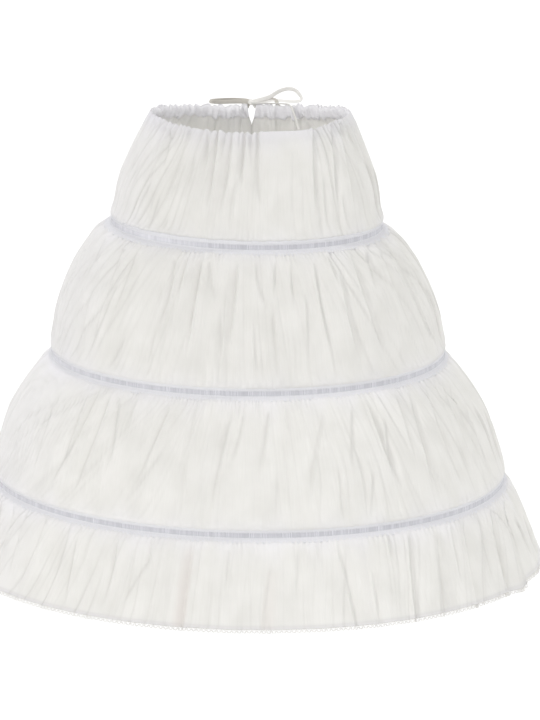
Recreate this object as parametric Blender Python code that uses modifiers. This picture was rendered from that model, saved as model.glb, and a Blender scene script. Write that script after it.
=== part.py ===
"""A child's white petticoat with three hoops, filled out as when worn and hollow from waist to hem.

Four gathered tiers of thin cotton hang from a drawstring waist. A flat hoop runs in a sheer tape at each of the
three seams between the tiers, a narrow lace edges the hem, and the drawstring is tied in a bow over a slit at the
centre back.

Metres, +Z up. The origin is the middle of the waist opening, at the height of the drawstring. The front looks
along -Y. Angles run round the skirt from the centre front towards +X.
"""

import math
from collections import namedtuple

import bmesh
import bpy
from mathutils import Vector

MM = 0.001

# Driving sizes

CLOTH = 1.2 * MM
TAPE_WALL = 1.0 * MM
CASING_WALL = 1.0 * MM
LACE_WALL = 1.0 * MM
SEAM_GAP = 0.3 * MM
STEP_GAP = 0.45 * MM
CASING_CLEARANCE = 0.5 * MM

HOOP_HEIGHT = 6.0 * MM
HOOP_THICKNESS = 1.2 * MM
TAPE_FACE = 6.4 * MM
UPPER_MARGIN_TALL = 3.4 * MM
UPPER_MARGIN_IN = 1.6 * MM
MARGIN_CLEARANCE = 0.6 * MM

SLIT_WIDTH = 9.5 * MM
SLIT_FOOT = -20.0 * MM
LACE_TALL = 6.0 * MM
CASING_TOP_SHARE = 0.375

# A level is a height where the skirt's size is set, measured at its sides. The radius is the outer one, depth is
# the share of it from front to back, roll is how much the level drops per metre towards +X, shift moves its middle
# along X, and saddle is how much lower it lies at the front and back than at the sides.
Level = namedtuple("Level", "height radius depth roll shift saddle")
LEVELS = {
    "waist": Level(0.0, 112.4 * MM, 0.76, 0.005, 1.7 * MM, 8.4 * MM),
    "hoop_1": Level(-110.0 * MM, 145.0 * MM, 1.0, 0.0257, -1.9 * MM, 0.0),
    "hoop_2": Level(-250.0 * MM, 210.8 * MM, 1.0, 0.0091, -0.7 * MM, 0.0),
    "hoop_3": Level(-383.5 * MM, 274.5 * MM, 1.0, 0.0145, 0.0, 0.0),
    "hem": Level(-471.0 * MM, 318.0 * MM, 1.0, 0.014, 0.0, 0.0),
}

# The lower edge of a hoop's tape leans out over the shoulder of the tier below it, by this much out and down.
Hoop = namedtuple("Hoop", "columns lean_out lean_down")
HOOPS = {
    "hoop_1": Hoop(36, 8.0 * MM, 3.8 * MM),
    "hoop_2": Hoop(48, 4.5 * MM, 4.2 * MM),
    "hoop_3": Hoop(60, 4.5 * MM, 4.2 * MM),
}

# A row of a tier is a ring of its cloth: the share of the tier's drop, the share of the way from the upper radius
# to the lower one, and the depth of the gathers there.
Row = namedtuple("Row", "down out fold")
TIER_1_ROWS = (
    Row(-0.078, -0.168, 2.2 * MM),
    Row(0.082, 0.150, 2.8 * MM),
    Row(0.290, 0.490, 3.6 * MM),
    Row(0.563, 0.877, 3.6 * MM),
    Row(0.872, 1.005, 2.2 * MM),
)
TIER_2_ROWS = (Row(0.18, 0.437, 4.0 * MM), Row(0.42, 0.747, 4.6 * MM), Row(0.76, 0.980, 3.0 * MM))
TIER_3_ROWS = (Row(0.18, 0.363, 4.4 * MM), Row(0.42, 0.696, 5.0 * MM), Row(0.76, 0.935, 3.4 * MM))
TIER_4_ROWS = (Row(0.50, 0.600, 5.5 * MM), Row(1.0, 1.0, 7.0 * MM))
SEAM_FOLD = 0.6 * MM
SHOULDER_FOLD = 1.4 * MM
SHOULDER_DOWN = 0.05

# The gathers of one panel, counted along its width, and where its hand-made unevenness starts.
Panel = namedtuple("Panel", "name middle gathers seed")
FRONT, BACK = 0.0, math.pi
TIER_1_PANEL = Panel("tier_1", FRONT, 32, 0.4)
TIER_2_PANELS = (Panel("tier_2_front", FRONT, 19, 1.1), Panel("tier_2_back", BACK, 19, 2.3))
TIER_3_PANELS = (Panel("tier_3_front", FRONT, 20, 3.2), Panel("tier_3_back", BACK, 20, 4.5))
TIER_4_PANELS = (Panel("tier_4_front", FRONT, 19, 5.1), Panel("tier_4_back", BACK, 19, 0.9))

COLUMNS_PER_GATHER = 3
GATHER_UNEVEN = 0.16
DEPTH_UNEVEN = 0.35
RIDGE_DEPTH = 0.12

# How fast the unevenness of the gathers changes from one to the next, in radians
EDGE_BEAT = 2.4
VALLEY_BEAT = 1.7
RIDGE_BEAT = 2.9
RIDGE_STEP_BEAT = 1.3

FLAT_FRONT_FROM, FLAT_FRONT_TO = math.radians(4), math.radians(37)

# The largest folds, each a soft trough: the tier, the angle of its middle, its half width and its depth.
Trough = namedtuple("Trough", "tier angle half_width depth")
TROUGHS = (
    Trough("tier_1", math.radians(-62), math.radians(7), 2.5 * MM),
    Trough("tier_1", math.radians(-18), math.radians(6), 2.0 * MM),
    Trough("tier_1", math.radians(58), math.radians(7), 2.5 * MM),
    Trough("tier_1", math.radians(128), math.radians(8), 3.0 * MM),
    Trough("tier_2", math.radians(-48), math.radians(6), 4.0 * MM),
    Trough("tier_2", math.radians(22), math.radians(5), 3.0 * MM),
    Trough("tier_2", math.radians(70), math.radians(6), 4.0 * MM),
    Trough("tier_2", math.radians(150), math.radians(7), 4.0 * MM),
    Trough("tier_2", math.radians(232), math.radians(6), 4.0 * MM),
    Trough("tier_3", math.radians(-60), math.radians(6), 4.5 * MM),
    Trough("tier_3", math.radians(-17), math.radians(5), 4.0 * MM),
    Trough("tier_3", math.radians(16), math.radians(5), 3.0 * MM),
    Trough("tier_3", math.radians(44), math.radians(6), 4.5 * MM),
    Trough("tier_3", math.radians(118), math.radians(6), 4.5 * MM),
    Trough("tier_3", math.radians(205), math.radians(7), 5.0 * MM),
    Trough("tier_4", math.radians(-70), math.radians(5), 7.0 * MM),
    Trough("tier_4", math.radians(-36), math.radians(5), 5.0 * MM),
    Trough("tier_4", math.radians(-12), math.radians(4), 6.0 * MM),
    Trough("tier_4", math.radians(19), math.radians(4), 4.0 * MM),
    Trough("tier_4", math.radians(33), math.radians(4), 5.0 * MM),
    Trough("tier_4", math.radians(46), math.radians(4), 5.0 * MM),
    Trough("tier_4", math.radians(62), math.radians(4), 9.0 * MM),
    Trough("tier_4", math.radians(76), math.radians(4), 9.0 * MM),
    Trough("tier_4", math.radians(122), math.radians(5), 7.0 * MM),
    Trough("tier_4", math.radians(176), math.radians(5), 6.0 * MM),
    Trough("tier_4", math.radians(238), math.radians(5), 7.0 * MM),
)

# The drawstring, as routes of hand-placed points in millimetres, with X counted from the middle of the slit. It
# leaves the casing at each side of the slit.
STRING_DIAMETER = 2.4 * MM
STRING_POINT_SPACING = 5.5 * MM
KNOT_MIDDLE = (0.0, 82.8, 2.9)
KNOT_HALF_SIZES = (3.6, 3.2, 3.0)
KNOT_SEGMENTS = 10
KNOT_RINGS = 6
STRING_FACETS = 2
STRING_ROUTES = {
    "string_lead_left": ((-2.6, 84.4, -4.2), (-2.5, 84.3, -2.9), (-2.0, 84.1, -1.5), (-1.5, 83.9, -0.3)),
    "string_lead_right": ((2.6, 84.4, -4.2), (2.5, 84.3, -2.9), (2.0, 84.1, -1.5), (1.5, 83.9, -0.3)),
    "bow_loop_left": (
        (-3.9, 84.5, 4.0),
        (-14.0, 86.3, 4.8),
        (-28.0, 84.6, 4.9),
        (-38.5, 80.6, 5.0),
        (-41.5, 77.8, 5.0),
        (-38.0, 75.8, 4.8),
        (-27.0, 78.0, 4.6),
        (-14.0, 80.0, 4.6),
        (-3.9, 81.1, 3.8),
    ),
    "bow_loop_right": (
        (3.9, 84.5, 4.0),
        (15.0, 86.9, 8.1),
        (28.0, 86.7, 13.1),
        (40.0, 84.0, 16.8),
        (49.0, 80.8, 14.8),
        (53.6, 78.4, 9.4),
        (52.8, 76.6, 5.4),
        (47.0, 76.8, 4.9),
        (38.0, 78.2, 5.4),
        (26.0, 79.6, 6.2),
        (14.0, 80.6, 5.4),
        (3.9, 81.1, 3.8),
    ),
    "string_tail_short": (
        (1.4, 87.3, 2.2),
        (13.0, 90.1, 4.2),
        (24.0, 90.3, 5.6),
        (29.5, 89.0, 2.2),
        (31.2, 88.4, -3.4),
        (31.8, 88.8, -9.4),
    ),
    "string_tail_long": (
        (1.4, 78.3, 2.4),
        (14.0, 78.4, 2.3),
        (28.0, 76.0, 2.6),
        (38.0, 73.0, 3.4),
        (43.5, 69.6, 3.2),
        (46.5, 66.6, -3.0),
        (48.5, 66.4, -12.0),
        (51.2, 67.8, -26.0),
    ),
}

WELD_DISTANCE = 0.001 * MM

# Colours, linear, and how rough each finish is
COTTON_COLOUR = (0.83, 0.82, 0.79, 1.0)
TAPE_COLOUR = (0.80, 0.80, 0.86, 1.0)
HOOP_COLOUR = (0.55, 0.56, 0.62, 1.0)
LACE_COLOUR = (0.86, 0.85, 0.83, 1.0)
STRING_COLOUR = (0.78, 0.76, 0.71, 1.0)
CLOTH_ROUGHNESS = 0.9
TAPE_ROUGHNESS = 0.85
HOOP_ROUGHNESS = 0.5


def make_material(name, colour, roughness):
    """One plain material."""
    material = bpy.data.materials.new(name)
    material.use_nodes = True
    shader = material.node_tree.nodes["Principled BSDF"]
    shader.inputs["Base Color"].default_value = colour
    shader.inputs["Roughness"].default_value = roughness
    return material


def blend(start, end, share):
    """The value at a share of the way from start to end."""
    return start + (end - start) * share


def blend_levels(upper, lower, share):
    """The level between two others, limited to them, so that a frill above the waist keeps the waist's plan."""
    kept = min(max(share, 0.0), 1.0)
    return Level(*(blend(a, b, kept) for a, b in zip(upper, lower)))


def place(level, height, radius, angle):
    """The point at an angle round a level, at a height and radius of its own."""
    across = radius * math.sin(angle)
    along = -radius * level.depth * math.cos(angle)
    drop = level.roll * across + level.saddle * math.cos(angle) ** 2
    return Vector((level.shift + across, along, height - drop))


def seat_radius(name):
    """The outer radius of the cloth behind a hoop, clear of the hoop's straight sides between its columns."""
    level, hoop = LEVELS[name], HOOPS[name]
    sag = level.radius * (1 - math.cos(math.pi / hoop.columns))
    return level.radius - TAPE_WALL - SEAM_GAP - HOOP_THICKNESS - SEAM_GAP - sag


def shoulder(name):
    """The height and radius of the tier's shoulder, just under the leaning lower edge of the hoop's tape."""
    level, hoop = LEVELS[name], HOOPS[name]
    length = math.hypot(hoop.lean_out, hoop.lean_down)
    depth = TAPE_WALL + MARGIN_CLEARANCE
    height = level.height - TAPE_FACE / 2 - hoop.lean_down - depth * hoop.lean_out / length
    return height, level.radius + hoop.lean_out - depth * hoop.lean_down / length


def tier_rings(upper, lower, rows):
    """The rings of a tier from top to bottom, each (level, height, radius, fold, share down)."""
    top, bottom = LEVELS[upper], LEVELS[lower]
    top_radius = seat_radius(upper) if upper in HOOPS else top.radius
    bottom_radius = seat_radius(lower) if lower in HOOPS else bottom.radius
    rings = []
    if upper in HOOPS:
        seam = top.height - HOOP_HEIGHT / 2 - STEP_GAP
        shoulder_height, shoulder_radius = shoulder(upper)
        rings.append((top, seam, top_radius, SEAM_FOLD, 0.0))
        rings.append((top, shoulder_height, shoulder_radius, SHOULDER_FOLD, SHOULDER_DOWN))
    for row in rows:
        level = blend_levels(top, bottom, row.down)
        height = blend(top.height, bottom.height, row.down)
        rings.append((level, height, blend(top_radius, bottom_radius, row.out), row.fold, row.down))
    if lower in HOOPS:
        rings.append((bottom, bottom.height - HOOP_HEIGHT / 2, bottom_radius, SEAM_FOLD, 1.0))
    return rings


def gather_edge(panel, number):
    """The share of the panel's width at which a gather starts, a little uneven, and even at the panel's ends."""
    wander = GATHER_UNEVEN * math.sin(EDGE_BEAT * number + panel.seed) if 0 < number < panel.gathers else 0.0
    return (number + wander) / panel.gathers


def column_share(panel, column):
    """The share of the panel's width at one column. Each gather is a valley and two columns on its ridge."""
    number, step = divmod(column, COLUMNS_PER_GATHER)
    start = gather_edge(panel, number)
    if step == 0:
        return start
    return blend(start, gather_edge(panel, number + 1), step / COLUMNS_PER_GATHER)


def gather_depth(panel, column):
    """How deep the cloth lies at one column, from 0 on a full ridge to about 1 in a valley and 1 at a side seam."""
    number, step = divmod(column, COLUMNS_PER_GATHER)
    if number in (0, panel.gathers) and step == 0:
        return 1.0
    if step == 0:
        return 1.0 + DEPTH_UNEVEN * math.sin(VALLEY_BEAT * number + panel.seed)
    beat = RIDGE_BEAT * number + RIDGE_STEP_BEAT * step + panel.seed
    return RIDGE_DEPTH * (1.0 + math.sin(beat))


def trough_depth(tier, angle, down):
    """The depth of the tier's large folds at an angle, none at its top seam and at a hoop below it."""
    swell = math.sin(math.pi * min(max(down, 0.0), 1.0)) if tier != "tier_4" else min(max(down, 0.0), 1.0)
    depth = 0.0
    for trough in TROUGHS:
        if trough.tier != tier:
            continue
        turn = (angle - trough.angle + math.pi) % (2 * math.pi) - math.pi
        depth += trough.depth * swell * math.exp(-((turn / trough.half_width) ** 2))
    return depth


def slit_half_width(height):
    """Half the width of the opening at the centre back, from the slit's mouth to the plain seam below its foot."""
    mouth = blend(LEVELS["waist"].height, LEVELS["hoop_1"].height, TIER_1_ROWS[0].down)
    share = min(max((height - SLIT_FOOT) / (mouth - SLIT_FOOT), 0.0), 1.0)
    return max(SLIT_WIDTH * share, SEAM_GAP) / 2


def panel_point(tier, panel, ring, column):
    """The point of a tier's outer face at one column of one ring."""
    level, height, radius, fold, down = ring
    if tier == "tier_1":
        half_range = math.pi - slit_half_width(height) / (radius * level.depth)
    else:
        half_range = math.pi / 2 - SEAM_GAP / 2 / radius
    angle = panel.middle + half_range * (2 * column_share(panel, column) - 1)
    depth = fold * gather_depth(panel, column)
    if tier == "tier_1" and FLAT_FRONT_FROM < angle < FLAT_FRONT_TO:
        depth *= min(max(down / TIER_1_ROWS[2].down, 0.0), 1.0)
    depth += trough_depth(tier, angle, down)
    return place(level, height, radius - depth, angle)


def grid_surface(columns, rows, point, closed):
    """An open surface from a grid, its columns round the skirt and its rows from top to bottom."""
    shape = bmesh.new()
    bmesh.ops.create_grid(shape, x_segments=columns, y_segments=rows, size=0.5)
    for vert in shape.verts:
        column = round((vert.co.x + 0.5) * columns)
        row = rows - round((vert.co.y + 0.5) * rows)
        vert.co = point(row, column)
    if closed:
        bmesh.ops.remove_doubles(shape, verts=shape.verts, dist=WELD_DISTANCE)
    bmesh.ops.triangulate(shape, faces=shape.faces, quad_method="FIXED")
    return shape


def move_inwards(shape, distance):
    """Move a surface along its own normals to the inside by an even distance."""
    shape.normal_update()
    steps = [vert.normal * distance * vert.calc_shell_factor() for vert in shape.verts]
    for vert, step in zip(shape.verts, steps):
        vert.co -= step


def add_object(name, data, collection, material):
    """Put a mesh or curve in the collection as a named object."""
    data.materials.append(material)
    item = bpy.data.objects.new(name, data)
    collection.objects.link(item)
    return item


def add_wall(name, shape, thickness, collection, material):
    """Make a surface into a closed wall, thickened to the inside."""
    mesh = bpy.data.meshes.new(name)
    shape.to_mesh(mesh)
    shape.free()
    mesh.shade_smooth()
    item = add_object(name, mesh, collection, material)
    solid = item.modifiers.new("Thickness", "SOLIDIFY")
    solid.thickness = thickness
    solid.offset = -1
    solid.use_even_offset = True
    return item


def panel_surface(tier, panel, rings):
    """The outer face of one panel of a tier."""
    columns = panel.gathers * COLUMNS_PER_GATHER
    return grid_surface(
        columns, len(rings) - 1, lambda row, column: panel_point(tier, panel, rings[row], column), False
    )


def build_tiers(collection, material):
    """The four gathered tiers: the first a wrap with its seam at the centre back, the others front and back."""
    tiers = (
        ("tier_1", "waist", "hoop_1", TIER_1_ROWS, (TIER_1_PANEL,)),
        ("tier_2", "hoop_1", "hoop_2", TIER_2_ROWS, TIER_2_PANELS),
        ("tier_3", "hoop_2", "hoop_3", TIER_3_ROWS, TIER_3_PANELS),
        ("tier_4", "hoop_3", "hem", TIER_4_ROWS, TIER_4_PANELS),
    )
    for tier, upper, lower, rows, panels in tiers:
        rings = tier_rings(upper, lower, rows)
        for panel in panels:
            add_wall(panel.name, panel_surface(tier, panel, rings), CLOTH, collection, material)


def build_casing(collection, material):
    """The band inside the waist that the drawstring runs behind, made from the first tier's points."""
    rings = tier_rings("waist", "hoop_1", TIER_1_ROWS)

    def point(row, column):
        top = panel_point("tier_1", TIER_1_PANEL, rings[0], column)
        foot = panel_point("tier_1", TIER_1_PANEL, rings[1], column)
        return foot if row else top.lerp(foot, CASING_TOP_SHARE)

    surface = grid_surface(TIER_1_PANEL.gathers * COLUMNS_PER_GATHER, 1, point, False)
    move_inwards(surface, CLOTH + CASING_CLEARANCE)
    add_wall("waist_casing", surface, CASING_WALL, collection, material)


def build_lace(collection, material):
    """The lace along the hem, carrying on the slope of the last tier, a strip for the front and one for the back."""
    rings = tier_rings("hoop_3", "hem", TIER_4_ROWS)
    for panel, name in zip(TIER_4_PANELS, ("hem_lace_front", "hem_lace_back")):

        def point(row, column, panel=panel):
            above = panel_point("tier_4", panel, rings[-2], column)
            hem = panel_point("tier_4", panel, rings[-1], column)
            onward = (hem - above).normalized()
            return hem + onward * (SEAM_GAP + LACE_TALL * row)

        surface = grid_surface(panel.gathers * COLUMNS_PER_GATHER, 1, point, False)
        add_wall(name, surface, LACE_WALL, collection, material)


def build_hoops(collection, tape_material, hoop_material):
    """The three flat hoops and the tape over each."""
    for name, hoop in HOOPS.items():
        level = LEVELS[name]
        face = TAPE_FACE / 2
        profile = (
            (face + UPPER_MARGIN_TALL, -UPPER_MARGIN_IN),
            (face, 0.0),
            (-face, 0.0),
            (-face - hoop.lean_down, hoop.lean_out),
        )
        hoop_radius = level.radius - TAPE_WALL - SEAM_GAP

        def tape_point(row, column, level=level, hoop=hoop, profile=profile):
            up, out = profile[row]
            angle = 2 * math.pi * column / hoop.columns
            return place(level, level.height + up, level.radius + out, angle)

        def hoop_point(row, column, level=level, hoop=hoop, hoop_radius=hoop_radius):
            angle = 2 * math.pi * column / hoop.columns
            return place(level, level.height + HOOP_HEIGHT * (0.5 - row), hoop_radius, angle)

        tape = grid_surface(hoop.columns, len(profile) - 1, tape_point, True)
        add_wall(f"{name}_tape", tape, TAPE_WALL, collection, tape_material)
        strip = grid_surface(hoop.columns, 1, hoop_point, True)
        add_wall(name, strip, HOOP_THICKNESS, collection, hoop_material)


def slit_place(point):
    """A point of the drawstring, from millimetres with X counted from the middle of the slit."""
    return Vector(point) * MM + Vector((LEVELS["waist"].shift, 0.0, 0.0))


def smooth_route(route, spacing):
    """Points along a smooth curve through a route's own points, about evenly spaced, ends included."""
    points = [slit_place(p) for p in route]
    padded = [points[0] * 2 - points[1], *points, points[-1] * 2 - points[-2]]
    smooth = [points[0]]
    for a, b, c, d in zip(padded, padded[1:], padded[2:], padded[3:]):
        steps = max(1, round((c - b).length / spacing))
        for step in range(1, steps + 1):
            t = step / steps
            smooth.append(
                0.5 * (2 * b + (c - a) * t + (2 * a - 5 * b + 4 * c - d) * t**2 + (3 * b - a - 3 * c + d) * t**3)
            )
    return smooth


def build_drawstring(collection, material):
    """The drawstring's bow: two leads from the casing, the knot, two loops and two tails."""
    knot = bmesh.new()
    bmesh.ops.create_uvsphere(knot, u_segments=KNOT_SEGMENTS, v_segments=KNOT_RINGS, radius=MM)
    bmesh.ops.scale(knot, verts=knot.verts, vec=KNOT_HALF_SIZES)
    bmesh.ops.translate(knot, verts=knot.verts, vec=slit_place(KNOT_MIDDLE))
    mesh = bpy.data.meshes.new("bow_knot")
    knot.to_mesh(mesh)
    knot.free()
    mesh.shade_smooth()
    add_object("bow_knot", mesh, collection, material)
    for name, route in STRING_ROUTES.items():
        curve = bpy.data.curves.new(name, "CURVE")
        curve.dimensions = "3D"
        curve.bevel_depth = STRING_DIAMETER / 2
        curve.bevel_resolution = STRING_FACETS
        curve.use_fill_caps = True
        points = smooth_route(route, STRING_POINT_SPACING)
        spline = curve.splines.new("POLY")
        spline.points.add(len(points) - 1)
        for spot, point in zip(spline.points, points):
            spot.co = (*point, 1.0)
        add_object(name, curve, collection, material)


def main():
    """Build the whole petticoat."""
    for item in list(bpy.data.objects):
        bpy.data.objects.remove(item, do_unlink=True)
    collection = bpy.data.collections.new("Hoop petticoat")
    bpy.context.scene.collection.children.link(collection)

    cotton = make_material("cotton_voile", COTTON_COLOUR, CLOTH_ROUGHNESS)
    tape = make_material("channel_tape", TAPE_COLOUR, TAPE_ROUGHNESS)
    hoop = make_material("hoop_strip", HOOP_COLOUR, HOOP_ROUGHNESS)
    lace = make_material("hem_lace", LACE_COLOUR, CLOTH_ROUGHNESS)
    string = make_material("string_tape", STRING_COLOUR, TAPE_ROUGHNESS)

    build_tiers(collection, cotton)
    build_casing(collection, tape)
    build_hoops(collection, tape, hoop)
    build_lace(collection, lace)
    build_drawstring(collection, string)


main()
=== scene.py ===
"""The looks of a child's white petticoat with three hoops: gathered cotton, sheer tapes, lace and a bow.

Metres, +Z up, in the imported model's own frame: the origin is the middle of the waist opening, and the
front looks along -Y. Angles run round the skirt from the centre front towards +X. Cloth is made as flat
grids that are moved to their gathered place, so that one place on a grid stays one place on the cloth.
"""

from __future__ import annotations

import logging
import math
from collections.abc import Sequence
from dataclasses import astuple, dataclass, field, replace
from enum import Enum
from functools import partial

import bmesh
import bpy
import numpy as np
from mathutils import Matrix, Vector


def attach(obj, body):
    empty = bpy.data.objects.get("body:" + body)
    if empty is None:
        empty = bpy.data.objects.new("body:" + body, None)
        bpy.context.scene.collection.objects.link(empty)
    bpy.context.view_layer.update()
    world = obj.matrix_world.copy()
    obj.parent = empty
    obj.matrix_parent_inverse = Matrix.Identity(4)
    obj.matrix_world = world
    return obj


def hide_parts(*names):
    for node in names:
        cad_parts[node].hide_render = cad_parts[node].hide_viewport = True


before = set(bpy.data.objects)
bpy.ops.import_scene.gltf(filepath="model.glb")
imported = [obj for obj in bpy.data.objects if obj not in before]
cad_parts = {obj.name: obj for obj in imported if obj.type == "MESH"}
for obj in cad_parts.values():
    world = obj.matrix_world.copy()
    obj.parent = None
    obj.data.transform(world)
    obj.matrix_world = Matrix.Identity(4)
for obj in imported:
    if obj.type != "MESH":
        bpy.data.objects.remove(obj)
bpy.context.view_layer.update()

log = logging.getLogger("petticoat")

MM = 0.001
TURN = 2 * math.pi


class Slot(Enum):
    """The record's material slots."""

    COTTON = "cotton_voile"
    TAPE = "channel_tape"
    HOOP = "hoop_strip"
    LACE = "hem_lace"
    STRING = "string_tape"


class Side(Enum):
    """The two sides that a panel is cut for, as the angle of its middle."""

    FRONT = 0.0
    BACK = math.pi


# Finishes


def linear(colour: str) -> tuple[float, float, float, float]:
    """Turn an sRGB hex colour into the linear one that a shader takes.

    Args:
        colour: Six hex digits, red first.

    Returns:
        Linear red, green, blue and an alpha of 1.
    """
    parts = [int(colour[i : i + 2], 16) / 255 for i in (0, 2, 4)]
    r, g, b = (c / 12.92 if c <= 0.04045 else ((c + 0.055) / 1.055) ** 2.4 for c in parts)
    return r, g, b, 1.0


def add_node(
    tree: bpy.types.NodeTree, kind: str, inputs: dict | None = None, **settings: object
) -> bpy.types.Node:
    """Add a node with its settings, its input values and its links.

    Args:
        tree: The node tree that takes the node.
        kind: Blender's name for the kind of node.
        inputs: Values or output sockets, by the name or number of the input that takes them.
        **settings: The node's own properties.

    Returns:
        The new node.
    """
    node = tree.nodes.new(kind)
    for name, value in settings.items():
        setattr(node, name, value)
    for name, value in (inputs or {}).items():
        socket = node.inputs[name]
        if isinstance(value, bpy.types.NodeSocket):
            tree.links.new(value, socket)
        else:
            socket.default_value = value
    return node


def new_material(name: str) -> tuple[bpy.types.Material, bpy.types.NodeTree, bpy.types.Node]:
    """Make an empty node material.

    Args:
        name: The material's name.

    Returns:
        The material, its node tree and its shader.
    """
    material = bpy.data.materials.new(name)
    material.use_nodes = True
    tree = material.node_tree
    return material, tree, tree.nodes["Principled BSDF"]


def dress_shader(
    shader: bpy.types.Node,
    colour: bpy.types.NodeSocket,
    normal: bpy.types.NodeSocket,
    roughness: float,
    sheen: float,
    gloss: float,
) -> None:
    """Link a shader's colour and relief, and set the numbers that are the same all over the surface.

    Args:
        shader: The finish's shader.
        colour: The socket that gives its colour.
        normal: The socket that gives its relief.
        roughness: Its roughness.
        sheen: How much soft light its fibres catch at the edges.
        gloss: The strength of its reflections, where 0.5 is a plain plastic.
    """
    links = shader.id_data.links
    links.new(colour, shader.inputs["Base Color"])
    links.new(normal, shader.inputs["Normal"])
    for name, value in (("Roughness", roughness), ("Sheen Weight", sheen), ("Specular IOR Level", gloss)):
        shader.inputs[name].default_value = value


def let_light_through(
    tree: bpy.types.NodeTree,
    shader: bpy.types.Node,
    colour: bpy.types.NodeSocket,
    normal: bpy.types.NodeSocket,
    share: float | bpy.types.NodeSocket,
) -> None:
    """Make a finish thin cloth, which passes a share of the light that falls on it.

    Args:
        tree: The finish's node tree.
        shader: Its shader.
        colour: The socket that gives its colour.
        normal: The socket that gives its relief.
        share: How much of the light comes through, from 0 to 1.
    """
    through = add_node(tree, "ShaderNodeBsdfTranslucent", {"Color": colour, "Normal": normal})
    both = add_node(tree, "ShaderNodeMixShader", {0: share, 1: shader.outputs[0], 2: through.outputs[0]})
    tree.links.new(both.outputs[0], tree.nodes["Material Output"].inputs["Surface"])


@dataclass(frozen=True)
class CottonVoile:
    """Plain woven cotton voile, washed and left unironed, as gathered.

    A thin open weave of fine threads: it gives a soft warm white with no shine, faint slubs along the
    threads and hair thin crinkles down from each gather. Painted light: a lighter cool tone near the seams
    and on the far left. Painted shade: a darker tone in the crease cores, the seam grooves, along the
    turned hem and over the first two tiers, and a darker warm tone in two hem folds.
    """

    name: str = "cotton voile"
    white: str = "EFEEEB"
    shade: str = "E4E3DF"
    # The last three tones are painted: light near the seams, warm shade in two folds and shade in the crease
    # cores.
    seam_light: str = "F1F0F4"
    blush: str = "E6DFDB"
    painted_shade: str = "CCCAC6"
    see_through: float = 0.26
    roughness: float = 0.88
    sheen: float = 0.25
    gloss: float = 0.2
    thread_mm: float = 0.9
    thread_deep_mm: float = 0.12
    crinkle_mm: float = 3.4
    crinkle_long_mm: float = 24.0
    crinkle_deep_mm: float = 0.55
    slubs_per_m: tuple[float, float] = (900.0, 30.0)
    patches_per_m: float = 28.0

    def build(self) -> bpy.types.Material:
        """Make the material from the cloth's own map, which is in metres along and across the threads.

        Returns:
            The material.
        """
        material, tree, shader = new_material(self.name)
        add = partial(add_node, tree)
        cloth = add("ShaderNodeUVMap", uv_map="cloth").outputs["UV"]
        # The threads are 0.3 mm apart, too fine to show, and are drawn three times as coarse.
        weave = 1 / (self.thread_mm * MM)
        # Four patterns on the cloth: each row has its steps per metre both ways, its detail and its roughness.
        crinkle, threads, slubs, patches = (
            add(
                "ShaderNodeTexNoise",
                {
                    "Vector": add("ShaderNodeMapping", {"Vector": cloth, "Scale": (*per_m, 1.0)}).outputs[0],
                    "Scale": 1.0,
                    "Detail": detail,
                    "Roughness": rough,
                },
            ).outputs["Fac"]
            for per_m, detail, rough in (
                ((1 / (self.crinkle_mm * MM), 1 / (self.crinkle_long_mm * MM)), 3.0, 0.55),
                ((weave, weave), 2.0, 0.7),
                (self.slubs_per_m, 1.0, 0.5),
                ((self.patches_per_m, self.patches_per_m), 2.0, 0.5),
            )
        )
        # Each row: the pattern, where its tone starts and where it is full, and how much of it shows there.
        patch, slub = (
            add(
                "ShaderNodeMapRange", {"Value": grain, "From Min": low, "From Max": high, "To Max": most}
            ).outputs[0]
            for grain, low, high, most in ((patches, 0.35, 0.7, 0.6), (slubs, 0.3, 0.8, 0.35))
        )
        # Painted light and shade from the sheet's attributes: a lighter cool tone near the seams, a darker
        # warm tone in two hem folds, and a darker tone in the crease cores, the seam grooves, along the hem
        # and over the first two tiers.
        seam, warm_shade_mask, lapped = (
            add("ShaderNodeAttribute", attribute_name=name).outputs["Fac"]
            for name in ("seam", "blush", "fold")
        )
        base = linear(self.white)
        for amount, tone in (
            (patch, self.shade),
            (slub, self.shade),
            (seam, self.seam_light),
            (warm_shade_mask, self.blush),
            (lapped, self.painted_shade),
        ):
            base = add("ShaderNodeMix", {0: amount, 6: base, 7: linear(tone)}, data_type="RGBA").outputs[2]
        relief = {"Strength": 0.8, "Distance": self.crinkle_deep_mm * MM, "Height": crinkle}
        crinkled = add("ShaderNodeBump", relief).outputs[0]
        relief = {"Strength": 0.35, "Distance": self.thread_deep_mm * MM, "Height": threads}
        woven = add("ShaderNodeBump", {**relief, "Normal": crinkled}).outputs[0]
        dress_shader(shader, base, woven, self.roughness, self.sheen, self.gloss)
        # The open weave lets some light through, so the inside of the skirt is not dark.
        let_light_through(tree, shader, base, woven, self.see_through)
        return material


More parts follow.
